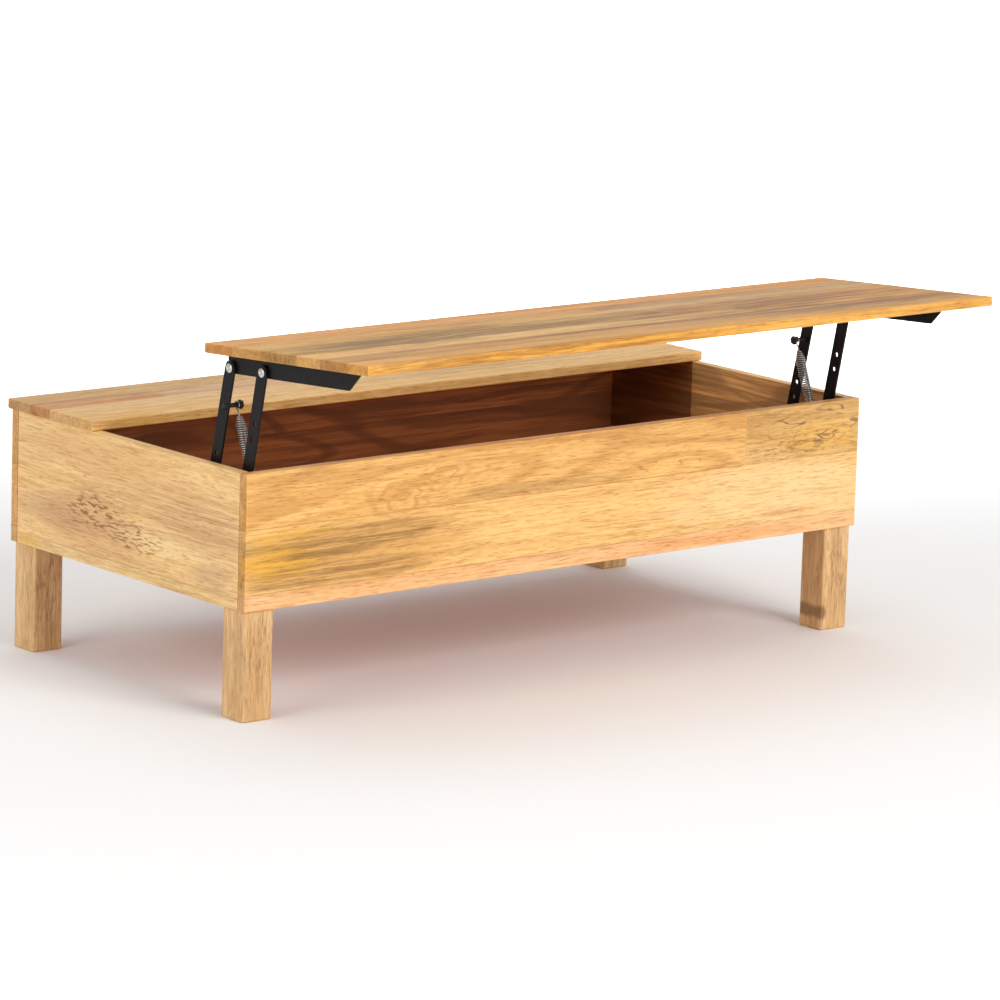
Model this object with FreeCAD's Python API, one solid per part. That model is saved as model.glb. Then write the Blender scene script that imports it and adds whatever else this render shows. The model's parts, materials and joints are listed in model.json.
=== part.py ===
"""Lift top coffee table in mango wood, drawn with its top raised on two steel lift fittings.

Everything is drawn about the middle of the closed table's footprint on the floor: +X to the right,
+Y to the back, +Z up, millimetres. The finished pieces are then slid along Y, so that the origin is
the middle of the floor under the raised table. Right-hand fittings are drawn and the left-hand ones
are their mirror images.
"""

import FreeCAD, Part
import math
import os
from FreeCAD import Vector

# --- table, outside sizes -------------------------------------------------------------------------
LENGTH = 1100.0
DEPTH = 550.0
HEIGHT = 350.0
BOARD = 14.0                 # thickness of the fixed rear top
REAR_TOP_DEPTH = 200.0
TOP_GAP = 1.0                # between the rear top and the closed lift top
REST_GAP = 0.5               # between the box rim and the closed lift top

# --- box ------------------------------------------------------------------------------------------
BOX_LENGTH = 1092.0
BOX_DEPTH = 540.0
PANEL = 15.0
BOX_BOTTOM = 150.0
BOX_TOP = HEIGHT - BOARD
FLOOR_T = 10.0
CLEAT = 15.0
BLOCK = 75.0
EDGE_ROUND = 1.5
TOP_ROUND = 2.0

# --- legs -----------------------------------------------------------------------------------------
LEG = 48.0
LEG_INSET = 4.5
LEG_ROUND = 3.0
LEG_FOOT_CHAMFER = 2.0

# --- lift fitting: the linkage --------------------------------------------------------------------
ARM_WIDTH = 20.0
ARM_T = 3.0
FRONT_ARM_LENGTH = 218.0
REAR_FOOT_Y = -146.5
REAR_FOOT_Z = 251.6
REAR_EDGE_TO_PIVOT = 14.0    # along the lift top, from its rear edge to the rear upper pivot
PIVOT_UNDER_BOARD = 21.5
PIVOT_SPACING = 70.0
SWING = 85.1                 # what the rear arms turn between raised and closed, degrees
TILT = 3.8                   # the raised top's front edge stands higher than its rear edge, degrees

# --- lift fitting: the stack, measured out from the table's middle ---------------------------------
PANEL_FACE = BOX_LENGTH / 2 - PANEL
PLATE_T = 3.0
PLATE_FACE = PANEL_FACE - PLATE_T
SLIP = 0.2                   # side play between pieces that turn on each other
SPACER = 8.5                 # room for the spacer washers between base plate and arms
ARM_OUT = PLATE_FACE - SPACER
ARM_IN = ARM_OUT - ARM_T
FLANGE_OUT = ARM_IN - 1.2
FLANGE_T = 3.0
FLANGE_IN = FLANGE_OUT - FLANGE_T
FLANGE_DROP = 29.0
FLANGE_SHELF = 28.0
BRACKET_LENGTH = 286.0
BRACKET_START = 6.0          # from the lift top's rear edge

# --- rivets, washers, posts -----------------------------------------------------------------------
FOOT_RIVET_R = 4.0
TOP_RIVET_R = 3.0
RIVET_HEAD_R = 6.5
RIVET_HEAD_T = 2.8
FOOT_RIVET_HEAD_R = 7.5
HEAD_CROWN_SHARE = 0.6         # how much of a head's thickness is its domed crown
RUNNING = 0.06               # radial clearance of an arm on its rivet
OPEN_PIVOT_PLAY = 1.2        # radial clearance of the front upper rivet in the top bracket
WASHER_R = 8.0
ARM_HOLE_R = 3.5
REAR_ARM_HOLES = (73.0, 96.0)
FRONT_ARM_HOLES = (125.0, 147.0)
POST_ALONG = 163.0
POST_FORWARD = 2.0
POST_R = 3.25
POST_IN = 491.0
POST_HEAD_R = 5.5
POST_NUT_T = 5.0
POST_NUT_FLATS = 11.0
ANCHOR_Y = -242.0
ANCHOR_Z = 252.0
ANCHOR_R = 3.0
ANCHOR_HEAD_R = 6.0
ANCHOR_HEAD_T = 2.5
ANCHOR_PAST_SPRING = 4.0       # how far the pin goes on past the spring's middle

# --- spring ---------------------------------------------------------------------------------------
SPRING_X = 499.0
COIL_R = 7.0
WIRE_R = 1.0
COIL_START = 16.0
CONE_LENGTH = 12.0
COIL_END_GAP = 15.0          # from the post's centre back to the small end of the cone
CONE_END_R = 3.6
FOOT_EYE_R = 4.3
HEAD_EYE_R = 4.7
BUTTON_R = 4.0                 # the hook's end inside the coil
BUTTON_T = 3.0

# --- base plate -----------------------------------------------------------------------------------
PLATE_FRONT = -250.0
PLATE_BACK = -112.0
PLATE_LOW = 232.0
PLATE_HIGH = 290.0
PLATE_CORNER = 8.0
TAB_LOW = 24.0               # stop tab, along the front arm from its foot pivot
TAB_HIGH = 34.0
TAB_REACH = 16.0
PLATE_SCREWS = ((-204.0, 281.0), (-163.0, 281.0), (-122.0, 281.0), (-122.0, 242.0), (-183.0, 242.0))
BRACKET_SCREWS = (40.0, 105.0, 170.0, 235.0)

# --- wood fastenings ------------------------------------------------------------------------------
DOWEL_R = 4.0
DOWEL_IN_PANEL = 10.0
DOWEL_IN_END = 25.0
DOWEL_UP = 8.0
PANEL_DOWEL_Z = (185.0, 243.0, 301.0)
TOP_DOWEL_X = (-420.0, -140.0, 140.0, 420.0)
TOP_DOWEL_Y = (110.0, 200.0)
DOWEL_DOWN = 22.0
SCREW_R = 1.9
SCREW_HEAD_R = 3.8
SCREW_TIP_R = 0.3
SCREW_TIP_SHARE = 0.2          # of a screw's length
FLOOR_SCREW = 20.0
PLATE_SCREW = 14.0
BRACKET_SCREW = 13.0
FLOOR_SCREW_X = (-360.0, -120.0, 120.0, 360.0)
FLOOR_SCREW_Y = (-90.0, 90.0)
LEG_BOLT_R = 4.0
LEG_BOLT_HEAD_R = 6.5
LEG_BOLT_HEAD_T = 8.0
LEG_BOLT_DEPTH = 45.0
KEY_CORNER = 3.4               # from the bolt's middle to a corner of its key socket
LEG_WASHER_R = 9.0
LEG_WASHER_T = 1.6

# --- worked out from the sizes above ---------------------------------------------------------------
REAR_TOP_FRONT = DEPTH / 2 - REAR_TOP_DEPTH
LIFT_REAR = REAR_TOP_FRONT - TOP_GAP
LIFT_FRONT = -DEPTH / 2
LIFT_UNDER = BOX_TOP + REST_GAP
LEG_X = BOX_LENGTH / 2 - LEG_INSET - LEG / 2
LEG_Y = BOX_DEPTH / 2 - LEG_INSET - LEG / 2
FLOOR_LOW = BOX_BOTTOM + CLEAT
FLOOR_HIGH = FLOOR_LOW + FLOOR_T
INSIDE_X = BOX_LENGTH / 2 - PANEL
INSIDE_Y = BOX_DEPTH / 2 - PANEL

X_AXIS = Vector(1, 0, 0)
Y_AXIS = Vector(0, 1, 0)
Z_AXIS = Vector(0, 0, 1)
MIDDLE = Vector(0, 0, 0)
CORNERS = {
    "front_left": (-1, -1),
    "front_right": (1, -1),
    "back_left": (-1, 1),
    "back_right": (1, 1),
}


def turned(y, z, degrees):
    """The vector (y, z) turned about +X, from +Y towards +Z."""
    a = math.radians(degrees)
    return y * math.cos(a) - z * math.sin(a), y * math.sin(a) + z * math.cos(a)


def centre_below(p, q, radius):
    """The pivot below the line from p to q that carries one to the other at that radius."""
    dy, dz = q[0] - p[0], q[1] - p[1]
    chord = math.hypot(dy, dz)
    drop = math.sqrt(radius ** 2 - chord ** 2 / 4)
    side = math.copysign(drop / chord, dy)
    return (p[0] + q[0]) / 2 + dz * side, (p[1] + q[1]) / 2 - dy * side


def angle_of(y, z):
    """The angle of the vector (y, z) above +Y, in degrees."""
    return math.degrees(math.atan2(z, y))


REAR_PIVOT_CLOSED = (LIFT_REAR - REAR_EDGE_TO_PIVOT, LIFT_UNDER - PIVOT_UNDER_BOARD)
FRONT_PIVOT_CLOSED = (REAR_PIVOT_CLOSED[0] - PIVOT_SPACING, REAR_PIVOT_CLOSED[1])
REAR_ARM_CLOSED = (REAR_PIVOT_CLOSED[0] - REAR_FOOT_Y, REAR_PIVOT_CLOSED[1] - REAR_FOOT_Z)
REAR_ARM_LENGTH = math.hypot(*REAR_ARM_CLOSED)
REAR_ARM_RAISED = turned(*REAR_ARM_CLOSED, SWING)
REAR_PIVOT = (REAR_FOOT_Y + REAR_ARM_RAISED[0], REAR_FOOT_Z + REAR_ARM_RAISED[1])
SPACING_RAISED = turned(-PIVOT_SPACING, 0, -TILT)
FRONT_PIVOT = (REAR_PIVOT[0] + SPACING_RAISED[0], REAR_PIVOT[1] + SPACING_RAISED[1])
FRONT_FOOT = centre_below(FRONT_PIVOT_CLOSED, FRONT_PIVOT, FRONT_ARM_LENGTH)
REAR_LEAN = angle_of(*REAR_ARM_RAISED) - 90
FRONT_LEAN = angle_of(FRONT_PIVOT[0] - FRONT_FOOT[0], FRONT_PIVOT[1] - FRONT_FOOT[1]) - 90
FRONT_SWING = FRONT_LEAN + 90 - angle_of(
    FRONT_PIVOT_CLOSED[0] - FRONT_FOOT[0], FRONT_PIVOT_CLOSED[1] - FRONT_FOOT[1]
)
POST_RAISED = turned(-POST_FORWARD, POST_ALONG, REAR_LEAN)
POST = (REAR_FOOT_Y + POST_RAISED[0], REAR_FOOT_Z + POST_RAISED[1])
SPRING_LENGTH = math.hypot(POST[0] - ANCHOR_Y, POST[1] - ANCHOR_Z)
SPRING_LEAN = angle_of(POST[0] - ANCHOR_Y, POST[1] - ANCHOR_Z) - 90

RAISED_FRONT = turned(LIFT_FRONT - REAR_PIVOT_CLOSED[0], PIVOT_UNDER_BOARD, -TILT)
ORIGIN_SHIFT = -(REAR_PIVOT[0] + RAISED_FRONT[0] + DEPTH / 2) / 2


# --- helpers --------------------------------------------------------------------------------------
def block(x0, x1, y0, y1, z0, z1):
    """A box between three pairs of limits."""
    return Part.makeBox(x1 - x0, y1 - y0, z1 - z0, Vector(x0, y0, z0))


def rounded(shape, radius):
    """The shape with every edge rounded."""
    return shape.makeFillet(radius, shape.Edges)


def rod(x0, x1, y, z, radius):
    """A round bar along X."""
    return Part.makeCylinder(radius, x1 - x0, Vector(x0, y, z), X_AXIS)


def tube(x0, x1, y, z, outer, inner):
    """A round tube along X."""
    return rod(x0, x1, y, z, outer).cut(rod(x0, x1, y, z, inner))


def head_outline(x_flat, direction, radius, thickness):
    """The outline of a low domed head, from the rim of its flat side to its tip on the axis."""
    rise = thickness * HEAD_CROWN_SHARE
    x_rim = x_flat + direction * (thickness - rise)
    x_tip = x_flat + direction * thickness
    ball = (radius ** 2 + rise ** 2) / (2 * rise)
    half = math.asin(radius / ball) / 2
    x_half = x_tip - direction * ball * (1 - math.cos(half))
    rim, tip = Vector(x_rim, radius, 0), Vector(x_tip, 0, 0)
    side = Part.makeLine(Vector(x_flat, radius, 0), rim)
    return [side, Part.Arc(rim, Vector(x_half, ball * math.sin(half), 0), tip).toShape()]


def headed_pin(x0, x1, y, z, radius, inner=None, outer=None):
    """A round pin along X, turned in one piece with its heads, each a pair of radius and thickness."""
    edges = []
    left, right = Vector(x0, 0, 0), Vector(x1, 0, 0)
    low, high = Vector(x0, radius, 0), Vector(x1, radius, 0)
    if inner:
        edges += head_outline(x0, -1, *inner) + [Part.makeLine(Vector(x0, inner[0], 0), low)]
        left = Vector(x0 - inner[1], 0, 0)
    else:
        edges.append(Part.makeLine(left, low))
    edges.append(Part.makeLine(low, high))
    if outer:
        edges += head_outline(x1, 1, *outer) + [Part.makeLine(high, Vector(x1, outer[0], 0))]
        right = Vector(x1 + outer[1], 0, 0)
    else:
        edges.append(Part.makeLine(high, right))
    edges.append(Part.makeLine(right, left))
    outline = Part.Wire(Part.__sortEdges__(edges))
    pin = Part.Face(outline).revolve(MIDDLE, X_AXIS, 360)
    pin.translate(Vector(0, y, z))
    return pin


def at_foot(shape, foot, lean):
    """A piece drawn standing on the X axis, moved to a foot pivot and leaned forward."""
    shape.rotate(MIDDLE, X_AXIS, lean)
    shape.translate(Vector(0, foot[0], foot[1]))
    return shape


def with_lift_top(shape):
    """A piece drawn at the closed lift top, carried up to where the raised top stands."""
    closed = Vector(0, REAR_PIVOT_CLOSED[0], REAR_PIVOT_CLOSED[1])
    raised = Vector(0, REAR_PIVOT[0], REAR_PIVOT[1])
    shape.rotate(closed, X_AXIS, -TILT)
    shape.translate(raised - closed)
    return shape


def mirrored(shape):
    """The left-hand partner of a right-hand piece."""
    return shape.mirror(MIDDLE, X_AXIS)


def countersunk_screw(head_point, direction, length, radius=SCREW_R):
    """A wood screw with its head flush at head_point, driven along direction."""
    head_depth = SCREW_HEAD_R - radius
    head = Part.makeCone(SCREW_HEAD_R, radius, head_depth, head_point, direction)
    straight = length * (1 - SCREW_TIP_SHARE)
    shank = Part.makeCylinder(radius, straight, head_point, direction)
    tip_start = head_point + direction * straight
    tip = Part.makeCone(radius, SCREW_TIP_R, length * SCREW_TIP_SHARE, tip_start, direction)
    return head.fuse([shank, tip]).removeSplitter()


# --- fastenings shared by the wood pieces -----------------------------------------------------------
def panel_dowels():
    """Dowels that join the front and back panels to the end panels."""
    found = []
    for sx in (-1, 1):
        for sy in (-1, 1):
            for z in PANEL_DOWEL_Z:
                inside = Vector(sx * (BOX_LENGTH / 2 - PANEL / 2), sy * (INSIDE_Y - DOWEL_IN_END), z)
                length = DOWEL_IN_END + DOWEL_IN_PANEL
                found.append(Part.makeCylinder(DOWEL_R, length, inside, Y_AXIS * sy))
    return found


def rear_top_dowels():
    """Dowels that hold the rear top down on the back and end panels."""
    low = BOX_TOP - DOWEL_DOWN
    tall = DOWEL_DOWN + DOWEL_UP
    places = [(x, BOX_DEPTH / 2 - PANEL / 2) for x in TOP_DOWEL_X]
    places += [(sx * (BOX_LENGTH / 2 - PANEL / 2), y) for sx in (-1, 1) for y in TOP_DOWEL_Y]
    return [Part.makeCylinder(DOWEL_R, tall, Vector(x, y, low), Z_AXIS) for x, y in places]


def floor_screws():
    """Countersunk screws through the floor panel into the cleats."""
    places = [(x, sy * (INSIDE_Y - CLEAT / 2)) for x in FLOOR_SCREW_X for sy in (-1, 1)]
    places += [(sx * (INSIDE_X - CLEAT / 2), y) for sx in (-1, 1) for y in FLOOR_SCREW_Y]
    return [countersunk_screw(Vector(x, y, FLOOR_HIGH), -Z_AXIS, FLOOR_SCREW) for x, y in places]


def leg_bolt_points():
    """Where a leg bolt's washer rests on the floor panel, above each leg."""
    return [Vector(sx * LEG_X, sy * LEG_Y, FLOOR_HIGH) for sx, sy in CORNERS.values()]


def leg_bolts():
    """Socket-head bolts through the floor panel and corner blocks into the legs."""
    found = []
    for p in leg_bolt_points():
        shank_low = Vector(p.x, p.y, BOX_BOTTOM - LEG_BOLT_DEPTH)
        head_low = Vector(p.x, p.y, FLOOR_HIGH + LEG_WASHER_T)
        shank = Part.makeCylinder(LEG_BOLT_R, head_low.z - shank_low.z, shank_low, Z_AXIS)
        head = Part.makeCylinder(LEG_BOLT_HEAD_R, LEG_BOLT_HEAD_T, head_low, Z_AXIS)
        key = Part.makePolygon(
            [
                Vector(
                    p.x + KEY_CORNER * math.cos(math.radians(60 * k)),
                    p.y + KEY_CORNER * math.sin(math.radians(60 * k)),
                    head_low.z + LEG_BOLT_HEAD_T / 2,
                )
                for k in range(7)
            ]
        )
        socket = Part.Face(key).extrude(Z_AXIS * LEG_BOLT_HEAD_T)
        found.append(shank.fuse(head).removeSplitter().cut(socket))
    return found


def leg_bolt_washers():
    """Flat washers under the leg bolts' heads."""
    found = []
    for p in leg_bolt_points():
        disc = Part.makeCylinder(LEG_WASHER_R, LEG_WASHER_T, p, Z_AXIS)
        found.append(disc.cut(Part.makeCylinder(LEG_BOLT_R, LEG_WASHER_T, p, Z_AXIS)))
    return found


# --- wood pieces ------------------------------------------------------------------------------------
def long_panel(sy):
    """The front (sy -1) or back (sy +1) panel of the box, over the whole length."""
    y0, y1 = sorted((sy * BOX_DEPTH / 2, sy * INSIDE_Y))
    board = rounded(block(-BOX_LENGTH / 2, BOX_LENGTH / 2, y0, y1, BOX_BOTTOM, BOX_TOP), EDGE_ROUND)
    return board.cut(Part.makeCompound(panel_dowels() + rear_top_dowels()))


def end_panel(sx):
    """The left (sx -1) or right (sx +1) end panel, between the long panels."""
    x0, x1 = sorted((sx * BOX_LENGTH / 2, sx * INSIDE_X))
    board = rounded(block(x0, x1, -INSIDE_Y, INSIDE_Y, BOX_BOTTOM, BOX_TOP), EDGE_ROUND)
    screws = plate_screws()
    if sx < 0:
        screws = [mirrored(s) for s in screws]
    return board.cut(Part.makeCompound(panel_dowels() + rear_top_dowels() + screws))


def floor_panel():
    """The bottom board of the storage space."""
    board = block(-INSIDE_X, INSIDE_X, -INSIDE_Y, INSIDE_Y, FLOOR_LOW, FLOOR_HIGH)
    return board.cut(Part.makeCompound(floor_screws() + leg_bolts()))


def long_cleat(sy):
    """The strip along the front or back panel that carries the floor panel."""
    y0, y1 = sorted((sy * INSIDE_Y, sy * (INSIDE_Y - CLEAT)))
    reach = INSIDE_X - BLOCK
    strip = block(-reach, reach, y0, y1, BOX_BOTTOM, FLOOR_LOW)
    return strip.cut(Part.makeCompound(floor_screws()))


def end_cleat(sx):
    """The strip along an end panel that carries the floor panel."""
    x0, x1 = sorted((sx * INSIDE_X, sx * (INSIDE_X - CLEAT)))
    reach = INSIDE_Y - BLOCK
    strip = block(x0, x1, -reach, reach, BOX_BOTTOM, FLOOR_LOW)
    return strip.cut(Part.makeCompound(floor_screws()))


def corner_block(sx, sy):
    """The block in a bottom corner of the box that a leg is bolted to, with its free corner cut."""
    x0, x1 = sorted((sx * INSIDE_X, sx * (INSIDE_X - BLOCK)))
    y0, y1 = sorted((sy * INSIDE_Y, sy * (INSIDE_Y - BLOCK)))
    body = block(x0, x1, y0, y1, BOX_BOTTOM, FLOOR_LOW)
    inner = [e for e in body.Edges if is_upright_at(e, sx * (INSIDE_X - BLOCK), sy * (INSIDE_Y - BLOCK))]
    return body.makeChamfer(BLOCK / 3, inner).cut(Part.makeCompound(leg_bolts()))


def is_upright_at(edge, x, y):
    """Whether an edge stands upright at that place."""
    ends = [v.Point for v in edge.Vertexes]
    return all(abs(p.x - x) < 0.01 and abs(p.y - y) < 0.01 for p in ends)


def leg(sx, sy):
    """A square leg with rounded arrises and an eased foot."""
    x, y = sx * LEG_X, sy * LEG_Y
    body = block(x - LEG / 2, x + LEG / 2, y - LEG / 2, y + LEG / 2, 0, BOX_BOTTOM)
    upright = [e for e in body.Edges if abs(e.Vertexes[0].Z - e.Vertexes[1].Z) > LEG]
    body = body.makeFillet(LEG_ROUND, upright)
    foot = [e for e in body.Edges if e.BoundBox.ZMax < 0.01]
    return body.makeChamfer(LEG_FOOT_CHAMFER, foot).cut(Part.makeCompound(leg_bolts()))


def rear_top():
    """The fixed strip of the top."""
    board = block(-LENGTH / 2, LENGTH / 2, REAR_TOP_FRONT, DEPTH / 2, BOX_TOP, HEIGHT)
    return rounded(board, TOP_ROUND).cut(Part.makeCompound(rear_top_dowels()))


def lift_top():
    """The raised part of the top, with the pilot holes of the bracket screws."""
    board = block(-LENGTH / 2, LENGTH / 2, LIFT_FRONT, LIFT_REAR, LIFT_UNDER, HEIGHT)
    screws = bracket_screws_closed()
    screws += [mirrored(s) for s in screws]
    return with_lift_top(rounded(board, TOP_ROUND).cut(Part.makeCompound(screws)))


# --- right-hand lift fitting: fixed pieces ------------------------------------------------------------
def plate_screws():
    """Countersunk screws of the base plate, flush with its face."""
    return [countersunk_screw(Vector(PLATE_FACE, y, z), X_AXIS, PLATE_SCREW) for y, z in PLATE_SCREWS]


def base_plate():
    """The steel plate on the end panel, with the stop tab that the front arm rests on."""
    plate = block(PLATE_FACE, PANEL_FACE, PLATE_FRONT, PLATE_BACK, PLATE_LOW, PLATE_HIGH)
    along_x = [e for e in plate.Edges if abs(e.Vertexes[0].X - e.Vertexes[1].X) > PLATE_T / 2]
    plate = plate.makeFillet(PLATE_CORNER, along_x)
    tab_back = -ARM_WIDTH / 2 - SLIP
    tab = block(PANEL_FACE - TAB_REACH, PANEL_FACE, tab_back - PLATE_T, tab_back, TAB_LOW, TAB_HIGH)
    plate = plate.fuse(at_foot(tab, FRONT_FOOT, FRONT_LEAN)).removeSplitter()
    pins = [
        rod(PLATE_FACE, PANEL_FACE, REAR_FOOT_Y, REAR_FOOT_Z, FOOT_RIVET_R),
        rod(PLATE_FACE, PANEL_FACE, *FRONT_FOOT, FOOT_RIVET_R),
        rod(PLATE_FACE, PANEL_FACE, ANCHOR_Y, ANCHOR_Z, ANCHOR_R),
    ]
    return plate.cut(Part.makeCompound(pins + plate_screws()))


def base_rivets():
    """The rivets that the two arms turn on at the base plate."""
    head = (FOOT_RIVET_HEAD_R, RIVET_HEAD_T)
    return [
        headed_pin(ARM_IN - SLIP, PANEL_FACE, y, z, FOOT_RIVET_R, inner=head)
        for y, z in ((REAR_FOOT_Y, REAR_FOOT_Z), FRONT_FOOT)
    ]


def base_washers():
    """Spacer washers between the base plate and the arms."""
    return [
        tube(ARM_OUT + SLIP, PLATE_FACE, y, z, WASHER_R, FOOT_RIVET_R)
        for y, z in ((REAR_FOOT_Y, REAR_FOOT_Z), FRONT_FOOT)
    ]


def spring_anchor():
    """The headed pin on the base plate that the spring's lower eye hooks on."""
    head = (ANCHOR_HEAD_R, ANCHOR_HEAD_T)
    return headed_pin(SPRING_X - ANCHOR_PAST_SPRING, PANEL_FACE, ANCHOR_Y, ANCHOR_Z, ANCHOR_R, inner=head)


# --- right-hand lift fitting: arms --------------------------------------------------------------------
def bar(length, hole_heights, top_hole_r):
    """A flat arm standing on its foot pivot: round ends, foot hole, adjusting holes and top hole."""
    half = ARM_WIDTH / 2
    straight = block(ARM_IN, ARM_OUT, -half, half, 0, length)
    ends = [rod(ARM_IN, ARM_OUT, 0, z, half) for z in (0, length)]
    holes = [rod(ARM_IN, ARM_OUT, 0, 0, FOOT_RIVET_R + RUNNING)]
    holes += [rod(ARM_IN, ARM_OUT, 0, z, ARM_HOLE_R) for z in hole_heights]
    holes.append(rod(ARM_IN, ARM_OUT, 0, length, top_hole_r))
    return straight.fuse(ends).removeSplitter().cut(Part.makeCompound(holes))


def rear_arm():
    """The arm that carries the spring post."""
    arm = bar(REAR_ARM_LENGTH, REAR_ARM_HOLES, TOP_RIVET_R + RUNNING)
    arm = arm.cut(rod(ARM_IN, ARM_OUT, -POST_FORWARD, POST_ALONG, POST_R))
    return at_foot(arm, (REAR_FOOT_Y, REAR_FOOT_Z), REAR_LEAN)


def front_arm():
    """The arm that keeps the top level; its upper rivet is fixed in it."""
    return at_foot(bar(FRONT_ARM_LENGTH, FRONT_ARM_HOLES, TOP_RIVET_R), FRONT_FOOT, FRONT_LEAN)


def spring_post():
    """The bolt through the rear arm that holds the spring's upper hook, with its low round head."""
    y, z = -POST_FORWARD, POST_ALONG
    post = headed_pin(POST_IN, ARM_OUT, y, z, POST_R, outer=(POST_HEAD_R, RIVET_HEAD_T))
    return at_foot(post, (REAR_FOOT_Y, REAR_FOOT_Z), REAR_LEAN)


def spring_post_nut():
    """The hexagon nut near the post's inner end that keeps the hook on."""
    corner = POST_NUT_FLATS / math.sqrt(3)
    hexagon = Part.makePolygon(
        [
            Vector(
                POST_IN + 1,
                -POST_FORWARD + corner * math.cos(math.radians(60 * k)),
                POST_ALONG + corner * math.sin(math.radians(60 * k)),
            )
            for k in range(7)
        ]
    )
    nut = Part.Face(hexagon).extrude(X_AXIS * (POST_NUT_T - 1))
    nut = nut.cut(rod(POST_IN, POST_IN + POST_NUT_T + 1, -POST_FORWARD, POST_ALONG, POST_R))
    return at_foot(nut, (REAR_FOOT_Y, REAR_FOOT_Z), REAR_LEAN)


def arm_washer(pivot, bore):
    """The washer between an arm's upper end and the top bracket."""
    return tube(FLANGE_OUT + SLIP, ARM_IN, *pivot, WASHER_R, bore)


# --- right-hand lift fitting: pieces on the lift top ----------------------------------------------------
def bracket_screws_closed():
    """Screws through the bracket's shelf into the closed lift top."""
    x = FLANGE_OUT - FLANGE_SHELF / 2 - FLANGE_T / 2
    return [
        countersunk_screw(Vector(x, LIFT_REAR - along, LIFT_UNDER - FLANGE_T), Z_AXIS, BRACKET_SCREW)
        for along in BRACKET_SCREWS
    ]


def top_bracket():
    """The angle iron under the lift top, its front end cut back at 45 degrees."""
    back = LIFT_REAR - BRACKET_START
    front = back - BRACKET_LENGTH
    low = LIFT_UNDER - FLANGE_DROP
    shelf = block(
        FLANGE_OUT - FLANGE_SHELF, FLANGE_OUT, front, back, LIFT_UNDER - FLANGE_T, LIFT_UNDER
    )
    flange = block(FLANGE_IN, FLANGE_OUT, front, back, low, LIFT_UNDER)
    angle = flange.fuse(shelf).removeSplitter()
    corner = Part.makePolygon(
        [
            Vector(0, front - 1, low - 1),
            Vector(0, front + FLANGE_DROP, low - 1),
            Vector(0, front + FLANGE_DROP, low),
            Vector(0, front, LIFT_UNDER - FLANGE_T),
            Vector(0, front - 1, LIFT_UNDER - FLANGE_T),
            Vector(0, front - 1, low - 1),
        ]
    )
    angle = angle.cut(Part.Face(corner).extrude(X_AXIS * LENGTH))
    holes = [
        rod(FLANGE_IN, FLANGE_OUT, *REAR_PIVOT_CLOSED, TOP_RIVET_R),
        rod(FLANGE_IN, FLANGE_OUT, *FRONT_PIVOT_CLOSED, TOP_RIVET_R + OPEN_PIVOT_PLAY),
    ]
    return with_lift_top(angle.cut(Part.makeCompound(holes + bracket_screws_closed())))


def rear_top_rivet():
    """The rivet fixed in the bracket that the rear arm turns on."""
    head = (RIVET_HEAD_R, RIVET_HEAD_T)
    return headed_pin(FLANGE_IN, ARM_OUT + SLIP, *REAR_PIVOT, TOP_RIVET_R, inner=head, outer=head)


def front_top_rivet():
    """The rivet fixed in the front arm that rides in the bracket's wider hole."""
    head = (RIVET_HEAD_R, RIVET_HEAD_T)
    return headed_pin(FLANGE_IN - SLIP, ARM_OUT, *FRONT_PIVOT, TOP_RIVET_R, inner=head, outer=head)


# --- right-hand spring, drawn upright on its anchor ------------------------------------------------------
def at_anchor(shape):
    """A piece drawn upright over the spring's anchor, leaned to the spring's line."""
    shape.rotate(MIDDLE, X_AXIS, SPRING_LEAN)
    shape.translate(Vector(SPRING_X, ANCHOR_Y, ANCHOR_Z))
    return shape


def eye(height, radius):
    """A round wire eye about the X axis."""
    return Part.makeTorus(radius, WIRE_R, Vector(0, 0, height), X_AXIS)


def spring():
    """The close coil, as one hollow solid with coned ends, and its lower eye."""
    cone_top = SPRING_LENGTH - COIL_END_GAP
    cone_low = cone_top - CONE_LENGTH
    wall = 2 * WIRE_R
    outline = Part.makePolygon(
        [
            Vector(COIL_R, 0, COIL_START),
            Vector(COIL_R, 0, cone_low),
            Vector(CONE_END_R, 0, cone_top),
            Vector(CONE_END_R - wall, 0, cone_top),
            Vector(COIL_R - wall, 0, cone_low),
            Vector(COIL_R - wall, 0, COIL_START + wall),
            Vector(0, 0, COIL_START + wall),
            Vector(0, 0, COIL_START),
            Vector(COIL_R, 0, COIL_START),
        ]
    )
    coil = Part.Face(outline).revolve(MIDDLE, Z_AXIS, 360)
    stem = Part.makeCylinder(WIRE_R, COIL_START - FOOT_EYE_R + WIRE_R, Vector(0, 0, FOOT_EYE_R), Z_AXIS)
    return at_anchor(coil.fuse([stem, eye(0, FOOT_EYE_R)]).removeSplitter())


def spring_hook():
    """The upper hook: an eye on the post, a stem, and a button held in the coil's coned end."""
    button_top = SPRING_LENGTH - COIL_END_GAP - CONE_LENGTH
    stem = Part.makeCylinder(
        WIRE_R, SPRING_LENGTH - HEAD_EYE_R - button_top, Vector(0, 0, button_top), Z_AXIS
    )
    button = Part.makeCylinder(BUTTON_R, BUTTON_T, Vector(0, 0, button_top - BUTTON_T), Z_AXIS)
    return at_anchor(button.fuse([stem, eye(SPRING_LENGTH, HEAD_EYE_R)]).removeSplitter())


# --- writing the pieces ---------------------------------------------------------------------------------
def save(name, pieces):
    """Write one node, slid so that the origin is under the middle of the raised table."""
    shape = Part.makeCompound(pieces) if isinstance(pieces, list) else pieces
    shape.translate(Vector(0, ORIGIN_SHIFT, 0))
    shape.exportStep(f"parts/{name}.step")


def save_pair(name, draw):
    """Write the right-hand piece and its left-hand mirror image."""
    pieces = draw()
    if not isinstance(pieces, list):
        pieces = [pieces]
    save(f"{name}_left", [mirrored(p) for p in pieces])
    save(f"{name}_right", pieces)


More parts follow.
